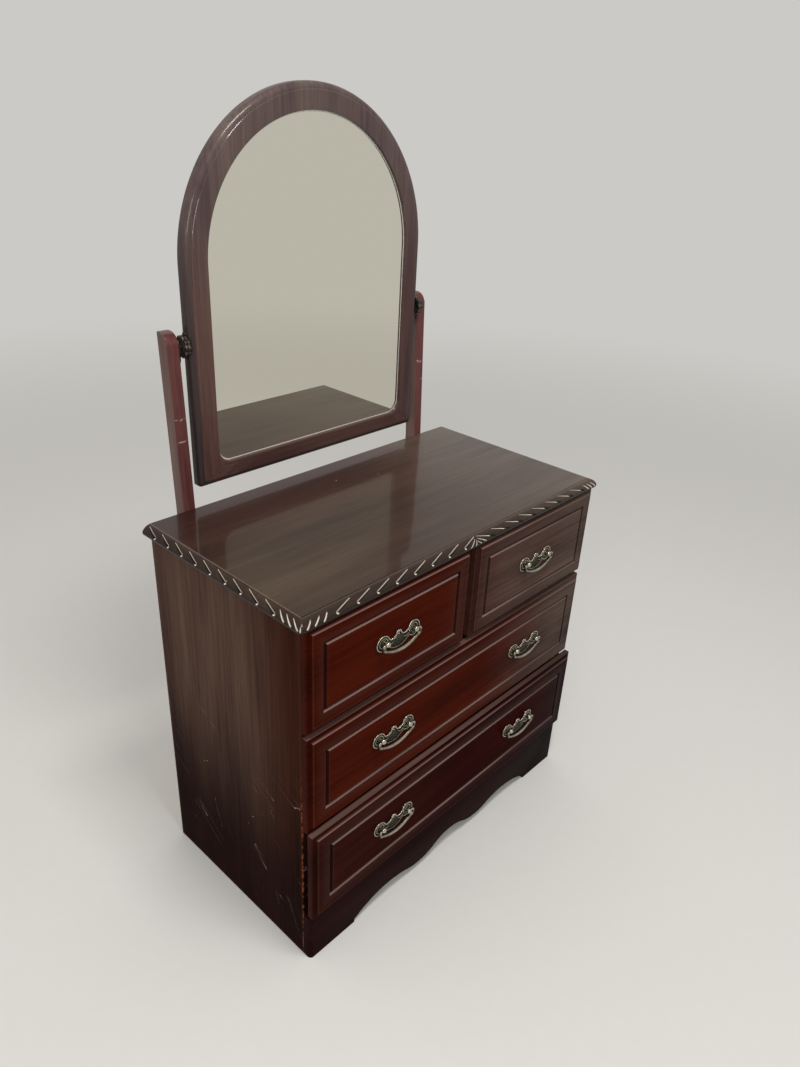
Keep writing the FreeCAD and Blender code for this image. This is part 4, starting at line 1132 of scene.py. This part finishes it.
def bailMesh():
    # A bail: pins, curled ends, short arms and a bow that swells.
    h = handleSizes
    half, curl, thin, arm, heel = [
        h[f"bail{name}"] for name in ("Half", "Curl", "End", "Arm", "Heel")]
    stations = [(h["postAt"] - 2, 0.0, h["pin"]), (half - 2.2, 0.0, h["pin"])]
    stations += [(half + curl * s, curl * (c - 1), thin + 0.9 * s - 0.3 * s ** 3)
                 for s, c in quarter(8)]
    stations += [(half + curl, -curl - (arm - curl) * share, thin + 0.6 * (1 - share) ** 2)
                 for share in np.linspace(0.2, 1, 5)]
    footX, footZ = half + curl - heel, -arm - heel
    for share in np.linspace(0.25, 0.75, 3):
        turn = share * math.pi / 2
        stations.append((footX + heel * math.cos(turn), -arm - heel * math.sin(turn),
                         thin + 0.5 * share))
    sag = h["bailDrop"] + footZ
    bow = (footX ** 2 + sag ** 2) / (2 * sag)
    for share in np.linspace(0, 1, 41):
        turn = math.asin(footX / bow) * (1 - share)
        radius = thin + (h["bailMiddle"] - thin) * math.sin(math.pi / 2 * share) ** 1.3
        radius += 0.9 * math.exp(-((share - 0.03) / 0.07) ** 2)  # the bulb at the heel
        radius += 0.5 * math.exp(-((share - 0.22) / 0.02) ** 2)  # a collar
        stations.append((bow * math.sin(turn), bow - h["bailDrop"] - bow * math.cos(turn), radius))
    stations += [(-x, z, radius) for x, z, radius in reversed(stations[:-1])]
    shape = bmesh.new()
    addTube(shape, [(x, 0, z) for x, z, radius in stations], [radius for x, z, radius in stations])
    mesh = meshFrom(shape, "bail")
    points = numbers(mesh.vertices, "co", 3)
    # painted highlight: a bright band along the front of the bail
    towards = numbers(mesh.vertices, "normal", 3) @ np.array([0, -0.85, 0.5])
    radii = np.repeat([radius for x, z, radius in stations], 16)
    facing = 0.55 * np.clip((towards - 0.62) / 0.3, 0, 1)
    rubAndHighlight = 0.2 + 0.12 * (radii - 2.6) + facing + 0.15 * (points[:, 2] > -4)
    setMark(mesh, "rubAndHighlight", np.clip(rubAndHighlight, 0, 1))
    return inMetres(mesh, points)


def makeHandles(plateFinish, bailFinish):
    plate, bail = plateMesh(), bailMesh()
    reach = Vector((0, handleSizes["pinReach"] * mm, 0))
    for body in drawers:
        plates = []
        for node in bailsOf(body):
            bow, sheet = bail.copy(), plate.copy()
            bow.transform(Matrix.Translation(pivots[node]))
            sheet.transform(Matrix.Translation(pivots[node] + reach))
            settle(newPiece(f"{node}_bow", bow, bailFinish, 50), node, "antique_brass", node)
            plates.append(newPiece(f"{node}_plate", sheet, plateFinish, 60))
        piece = joined(f"{body}_plates", plates)
        piece.data.shade_smooth()
        settle(piece, body, "antique_brass", f"{body}_handle_plate" + "s" * (len(plates) > 1))


# Movements of the mirror

movementSizes = {
    "radius": 16.9 * mm, "scallop": 1.1 * mm, "lobes": 10, "ease": 1.1 * mm, "thick": 4.8 * mm,
    "plate": 2 * mm, "plateEase": 0.5 * mm,
    "baseFront": 0.4 * mm, "baseWidth": 20 * mm, "baseHeight": 42 * mm,
    "armFront": 2 * mm, "armWidth": 10 * mm,
    "pinRadius": 3 * mm, "pinEase": 0.4 * mm, "pinPastArm": 6.2 * mm, "pinInPost": 1 * mm,
}


def tongueOutline(low, high):
    # A plate with rounded ends, from its lowest to its highest corner.
    radius, middle = (high[0] - low[0]) / 2, (low[0] + high[0]) / 2
    bow = [(radius * math.cos(turn), radius * (1 - math.sin(turn)))
           for turn in np.linspace(0, math.pi, 14)]
    return ([(middle + across, high[1] - drop) for across, drop in bow]
            + [(middle - across, low[1] + drop) for across, drop in bow])


def makeMovements(finish):
    s = movementSizes
    centre = tuple(pivots["mirror"][1:])
    baseLow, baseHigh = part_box("movement_bases")
    armLow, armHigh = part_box("movement_arms")
    post, arm, plate, thick = baseHigh.x, armHigh.x, s["plate"], s["thick"]
    disc = circle(160, s["radius"], centre, s["lobes"], s["scallop"])
    foot, heel = centre[0] - s["baseFront"], centre[0] - s["armFront"]
    baseTop = (foot + s["baseWidth"], baseLow.z + s["baseHeight"])
    baseTongue = tongueOutline((foot, baseLow.z), baseTop)
    armTongue = tongueOutline((heel, armLow.z), (heel + s["armWidth"], armHigh.z))
    pin = circle(40, s["pinRadius"], centre)
    bases = [(baseTongue, post - plate, post, s["plateEase"]),
             (disc, post - plate - thick, post - plate, s["ease"]),
             (pin, arm - s["pinPastArm"], post - s["pinInPost"], s["pinEase"])]
    arms = [(armTongue, arm - plate - thick, arm - thick, s["plateEase"]),
            (disc, arm - thick, arm, s["ease"])]
    for kind, parts, body in (("base", bases, "carcass"), ("arm", arms, "mirror")):
        pieces = [slab(kind, outline, 0, *sorted((side * near, side * far)), ease, finish)
                  for side in (-1, 1) for outline, near, far, ease in parts]
        settle(joined(f"{kind}_movement", pieces), body, "dark_bronze", f"movement_{kind}s")


# Screws and pins

screwSizes = {
    "handle": 3.4 * mm,
    "post": 4.4 * mm,
    "pin": 1.7 * mm,
    "movement": 2.2 * mm,
    "arm": 1.98 * mm,
    "postLevels": [480 * mm, 570 * mm, 660 * mm],
    "pinStep": 85 * mm,
    "pinInset": 5 * mm,
    "backInset": 8 * mm,
    "baseRise": 7 * mm,
    "armRise": 6 * mm,
    "seed": 11,
}


def screwHead():
    # A raised head of unit radius about Z, with a cross cut into it.
    rings = [[(x, y, level) for x, y in circle(24, radius)] for radius, level in (
        (1.0, -0.25), (1.0, 0.06), (0.93, 0.2), (0.76, 0.33), (0.56, 0.40))]
    reaches = [0.5 if count % 6 in (0, 1, 5) else 0.2 for count in range(24)]  # four arms
    for share, level in ((1, 0.41), (0.55, 0)):
        rings.append([(x * reach * share, y * reach * share, level)
                      for (x, y), reach in zip(circle(24), reaches)])
    shape = bmesh.new()
    skin(shape, rings)
    return link("screwHead", meshFrom(shape, "screwHead"))


def screwTree():
    # Sets a head on every point, square to its facing and turned at random.
    tree = bpy.data.node_groups.new("screws", "GeometryNodeTree")
    for name, way, kind in (
            ("Points", "INPUT", "Geometry"), ("Head", "INPUT", "Object"), ("Seed", "INPUT", "Int"),
            ("Finish", "INPUT", "Material"), ("Screws", "OUTPUT", "Geometry")):
        tree.interface.new_socket(name=name, in_out=way, socket_type=f"NodeSocket{kind}")
    add = Graph(tree).add
    points, head, seed, finish = [add("NodeGroupInput", outlet=name)
                                  for name in ("Points", "Head", "Seed", "Finish")]
    facing, scale = [
        add("GeometryNodeInputNamedAttribute", {"data_type": kind}, {"Name": name}, "Attribute")
        for name, kind in (("facing", "FLOAT_VECTOR"), ("scale", "FLOAT"))]
    aligned = add("FunctionNodeAlignRotationToVector", {"axis": "Z"}, {"Vector": facing})
    angle = add("FunctionNodeRandomValue", {"data_type": "FLOAT"},
                {2: 0, 3: fullTurn, "Seed": seed}, 1)
    spin = add("FunctionNodeAxisAngleToRotation", {}, {"Axis": (0, 0, 1), "Angle": angle})
    turned = add("FunctionNodeRotateRotation", {"rotation_space": "LOCAL"},
                 {"Rotation": aligned, "Rotate By": spin})
    instance = add("GeometryNodeObjectInfo", {}, {"Object": head}, "Geometry")
    placed = add("GeometryNodeInstanceOnPoints", {}, {
        "Points": points, "Instance": instance, "Rotation": turned, "Scale": scale})
    real = add("GeometryNodeRealizeInstances", {}, {"Geometry": placed})
    painted = add("GeometryNodeSetMaterial", {}, {"Geometry": real, "Material": finish})
    add("NodeGroupOutput", {}, {"Screws": painted})
    return tree


def setScrews(body, spots, tree, head, finish):
    # spots: (place, facing, size) of each screw of one body.
    name = f"{body}_screws"
    places, facings, sizes = zip(*spots)
    mesh = meshOf(f"{name}Points", places, [])
    setMark(mesh, "facing", facings)
    setMark(mesh, "scale", sizes)
    points = link(f"{name}Points", mesh)
    modifier = points.modifiers.new("screws", "NODES")
    modifier.node_group = tree
    values = {"Head": head, "Seed": screwSizes["seed"], "Finish": finish}
    for item in tree.interface.items_tree:
        if item.name in values:
            modifier[item.identifier] = values[item.name]
    result = evaluated(points)
    result.name = name
    result.materials.clear()
    settle(newPiece(name, result, finish, 40), body, "dark_bronze")


def makeScrews(finish):
    s, m = screwSizes, movementSizes
    rearwards, sides, spots = (0, 1, 0), (-1, 1), {}
    reach = handleSizes["postAt"] * mm
    for body in drawers:
        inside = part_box(f"{body}_front")[1].y
        spots[body] = [
            ((pivots[node].x + side * reach, inside, pivots[node].z), rearwards, s["handle"])
            for node in bailsOf(body) for side in sides]

    posts = [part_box(f"mirror_post_{side}") for side in ("left", "right")]
    spots["carcass"] = [
        (((low.x + high.x) / 2, high.y - boardSizes["postLean"], level), rearwards, s["post"])
        for low, high in posts for level in s["postLevels"]]
    low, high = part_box("back_panel")
    left, bottom = low.x + s["backInset"], low.z + s["backInset"]
    right, top = high.x - s["backInset"], high.z - s["backInset"]
    across = np.linspace(left, right, int((right - left) / s["pinStep"]))
    upwards = np.linspace(bottom, top, int((top - bottom) / s["pinStep"]))[1:-1]
    places = [(x, z) for x in across for z in (bottom, top)]
    places += [(x, z) for z in upwards for x in (left, right)]
    spots["carcass"] += [((x, high.y, z), rearwards, s["pin"]) for x, z in places]
    baseLow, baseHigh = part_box("movement_bases")
    armLow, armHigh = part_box("movement_arms")
    baseY = pivots["mirror"].y - m["baseFront"] + m["baseWidth"] / 2
    armY = pivots["mirror"].y - m["armFront"] + m["armWidth"] / 2
    spots["carcass"] += [((side * (baseHigh.x - m["plate"]), baseY, baseLow.z + s["baseRise"]),
                          (-side, 0, 0), s["movement"]) for side in sides]

    low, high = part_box("mirror_backboard")
    loop = spaced(archRing(high.x - s["pinInset"], low.z + s["pinInset"], 4 * mm), s["pinStep"])
    spots["mirror"] = [((x, high.y, z), rearwards, s["pin"]) for x, z in loop]
    spots["mirror"] += [((side * (armHigh.x - m["thick"]), armY, armLow.z + s["armRise"]),
                         (side, 0, 0), s["arm"]) for side in sides]
    head, tree = screwHead(), screwTree()
    for body, those in spots.items():
        setScrews(body, those, tree, head, finish)
    bpy.data.objects.remove(head)


# Stage, light and camera

studio = {
    "floor": (0.70, 0.69, 0.665),
    "backdrop": (0.60, 0.59, 0.565),
    "sky": ((1, 0.985, 0.96), 0.62),
    "fade": (1.6, 5.0),
    "lamps": {  # place, size, power, colour
        "ceiling": ((-0.25, -0.75, 2.6), (0.6, 0.4), 26, (1, 0.98, 0.95)),
        "fill": ((-2.2, -1.6, 1.9), (0.9, 0.9), 24, (1, 0.99, 0.97)),
    },
    "target": (0, 0, 0.6),
    "place": (-0.9646, -0.8965, 1.3132),
    "azimuth": -47.89,
    "elevation": 27.27,
    "roll": 2.93,
    "lens": 36.45,
}


def whenSeen(graph, seen, lit):
    # Shows one shader to the camera, gloss and glass, and lights everything by the other.
    rays = [graph.add("ShaderNodeLightPath", outlet=f"Is {kind} Ray")
            for kind in ("Camera", "Glossy", "Transmission")]
    share = rays[0]
    for ray in rays[1:]:
        share = share.work("MAXIMUM", share, ray)
    return graph.add("ShaderNodeMixShader", {}, {0: share, 1: lit, 2: seen})


def makeStage():
    # A pale floor that melts into a backdrop of the same tone.
    finish = Finish("studioFloor")
    colour = finish.mix(finish.noise(40, 3), dimmed(studio["floor"], 0.97), studio["floor"])
    lit = finish.add("ShaderNodeBsdfPrincipled", {}, {
        "Base Color": colour, "Roughness": 0.9, "Specular IOR Level": 0.1})
    shown = finish.add("ShaderNodeEmission", {}, {"Color": studio["backdrop"], "Strength": 1})
    reach = finish.add("ShaderNodeVectorMath", {"operation": "LENGTH"}, {0: finish.place}, "Value")
    melted = finish.add("ShaderNodeMixShader", {}, {
        0: reach.bend(*studio["fade"]), 1: lit, 2: shown})
    finish.add("ShaderNodeOutputMaterial", {}, {"Surface": whenSeen(finish, melted, lit)})
    mesh = meshOf("floor", [(-9, -9, 0), (9, -9, 0), (9, 9, 0), (-9, 9, 0)], [(0, 1, 2, 3)])
    newPiece("floor", mesh, finish.material)
    scene.world = bpy.data.worlds.new("studio")
    scene.world.use_nodes = True
    sky = Graph(scene.world.node_tree)
    shades = [sky.add("ShaderNodeBackground", {}, {0: colour, 1: strength})
              for colour, strength in ((studio["backdrop"], 1), studio["sky"])]
    sky.add("ShaderNodeOutputWorld", {}, {0: whenSeen(sky, *shades)})


def makeLamps():
    for name, (place, size, power, colour) in studio["lamps"].items():
        data = bpy.data.lights.new(name, "AREA")
        data.shape = "RECTANGLE"
        data.size, data.size_y = size
        data.energy = power
        data.color = colour
        lamp = link(name, data)
        lamp.location = place
        towards = Vector(studio["target"]) - Vector(place)
        lamp.rotation_euler = towards.to_track_quat("-Z", "Y").to_euler()


def makeCamera():
    data = bpy.data.cameras.new("camera")
    data.sensor_fit = "HORIZONTAL"
    data.sensor_width = 36
    data.lens = studio["lens"]
    turn = Matrix.Identity(4)
    for degrees, axis in (
            (studio["azimuth"], "Z"), (90 - studio["elevation"], "X"), (studio["roll"], "Z")):
        turn = turn @ Matrix.Rotation(math.radians(degrees), 4, axis)
    camera = link("camera", data)
    camera.matrix_world = Matrix.Translation(studio["place"]) @ turn
    scene.camera = camera


def dress(finish, *names):
    # One finish for CAD nodes that show as they are.
    for name in names:
        slots = frame["nodes"][name].data.materials
        if not slots:
            slots.append(finish)
        for count in range(len(slots)):
            slots[count] = finish


print("stage: camera and light")
makeCamera()
makeStage()
makeLamps()
scene.view_settings.view_transform = "Standard"

print("stage: carcass")
tones = {
    "front": (0.052, 0.0064, 0.0022),
    # painted reflection of a pale wall: the fronts grow greyer and paler towards the right
    "paintedReflection": (0.068, 0.040, 0.033),
    "farPaintedReflection": (0.092, 0.062, 0.052),
    "lowFront": (0.038, 0.0074, 0.0046),
    # lower front: darker towards the middle, then greyer at the right by painted reflection
    "lowFrontMid": (0.021, 0.0016, 0.0012),
    "lowFrontRight": (0.019, 0.009, 0.0092),
    "top": (0.040, 0.0225, 0.0155),
    # painted highlight on the top's upward arrises
    "topPaintedHighlight": (0.13, 0.092, 0.070),
    # painted reflections on the top: darker and redder towards the mirror at the rear, greyer and
    # paler towards the right
    "topRear": (0.033, 0.0125, 0.0098),
    "topRight": (0.074, 0.050, 0.040),
    # side: its red-brown greyed by a painted reflection of a pale wall, redder towards the front
    # edge, and darker towards the bottom by painted shade
    "side": (0.078, 0.045, 0.034),
    "sideLow": (0.0125, 0.0036, 0.0028),
    "sideFront": (0.043, 0.0136, 0.0072),
    # plinth: painted shade keeps it much darker than the fronts, and a painted reflection greys it
    # towards the right
    "plinth": (0.0165, 0.0050, 0.0050),
    "plinthRight": (0.0095, 0.0058, 0.0058),
    # rails seen only in the gaps between the drawers: painted shade
    "stile": (0.016, 0.0045, 0.0034),
    "frame": (0.073, 0.036, 0.031),
    "arch": (0.076, 0.051, 0.048),
    # painted shade on the frame's outer rounding
    "rim": (0.034, 0.022, 0.022),
    # posts: the front faces redder and darker, the other faces greyer and paler: painted light by
    # facing
    "post": (0.120, 0.071, 0.063),
    "postFront": (0.103, 0.035, 0.032),
    # painted highlight on the fronts' upward arrises
    "paintedHighlight": (0.23, 0.145, 0.125),
}
rawEdge = 1.2 * mm, 0.6 * mm
inner = {"left": (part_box("side_panel_left")[1].x, -1),
         "right": (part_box("side_panel_right")[0].x, 1)}
# The top's fades paint reflections of the mirror frame and of a pale wall.
makeTop(mahogany(
    "lacquer_top", "x", tones["top"], 0.12, 0.45, ("Y", -0.02, 0.16, tones["topRear"]),
    ("X", 0.0, 0.38, tones["topRight"]), polish=0.2, scuffs=flecked, paintedHighlight=tones["topPaintedHighlight"]))
# The sides' tones hold a painted reflection and a painted shade low down.
makeSides(*[
    mahogany(f"lacquer_{side}_side", "z", tones["side"], 0.004, 0.0,
             ("Y", -0.02, -0.17, tones["sideFront"]), ("Z", 0.52, 0.10, tones["sideLow"]),
             polish=0.1, wornBelow=wornBelow, scuffs=scuffs,
             raw=("X", *(inner[side][0] + inner[side][1] * inset for inset in rawEdge)))
    for side, wornBelow, scuffs in (("left", 0.45, scratched), ("right", 0.3, None))])
makePlinth(mahogany("lacquer_plinth", "x", tones["plinth"], 0.005, 0.0,
                    ("X", 0.0, 0.37, tones["plinthRight"]), polish=0.3))
makePosts(mahogany("lacquer_posts", "z", tones["post"], 0.1, 0.1,
                   ("show", 0.4, 0.6, tones["postFront"]), scuffs=knocked))
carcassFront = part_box("side_panel_left")[0].y
dress(mahogany("lacquer_edges", "x", tones["stile"], 0.02, 0.0,
               raw=("Y", carcassFront + 8 * mm, carcassFront + 12 * mm)),
      "divider_shelf", "lower_rail", "top_front_rail", "centre_divider")

print("stage: drawers")
# The fronts' X fades paint the reflection of a pale wall; their upward arrises get a painted
# highlight.
makeDrawerFronts({
    kind: mahogany(name, "x", tones[tone], 0.004, 0.0, ("X", near, far, tones[other]),
                   ("X", 0.18, 0.36, tones[last]), polish=0.2, paintedHighlight=tones["paintedHighlight"])
    for kind, name, tone, near, far, other, last in (
        ("small", "lacquer_small_fronts", "front", -0.09, 0.12, "paintedReflection", "farPaintedReflection"),
        ("upper", "lacquer_upper_front", "front", 0.03, 0.31, "paintedReflection", "farPaintedReflection"),
        ("lower", "lacquer_lower_front", "lowFront", -0.26, 0.04, "lowFrontMid", "lowFrontRight"))})
boxWood = plainWood("drawer_sides_wood", "y", drawerWood)
boxAcross = plainWood("drawer_backs_wood", "x", drawerWood)
for drawer in drawers:
    dress(boxWood, f"{drawer}_side_left", f"{drawer}_side_right")
    dress(boxAcross, f"{drawer}_back", f"{drawer}_bottom")
dress(boxWood, "drawer_runners")
dress(plainWood("raw_wood", "x", rawWood),
      "base_board", "top_rear_rail", "rear_stretcher", "plinth_blocks")
dress(plainWood("back_ply", "z", plyWood), "back_panel", "mirror_backboard")

print("stage: mirror")
makeMirror(mahogany("lacquer_frame", "own", tones["frame"], 0.1, 0.2,
                    ("rim", 0.2, 0.8, tones["rim"]), ("Z", 0.96, 1.24, tones["arch"])),
           silvered("mirror_silver"), mottledFinish("mirror_edge_highlight"))
makeMovements(mottledFinish("dark_bronze_metal"))

print("stage: handles")
makeHandles(antiqueBrass("brass_plates", True), antiqueBrass("brass_bails", False))

print("stage: screws")
makeScrews(mottledFinish("screw_steel"))
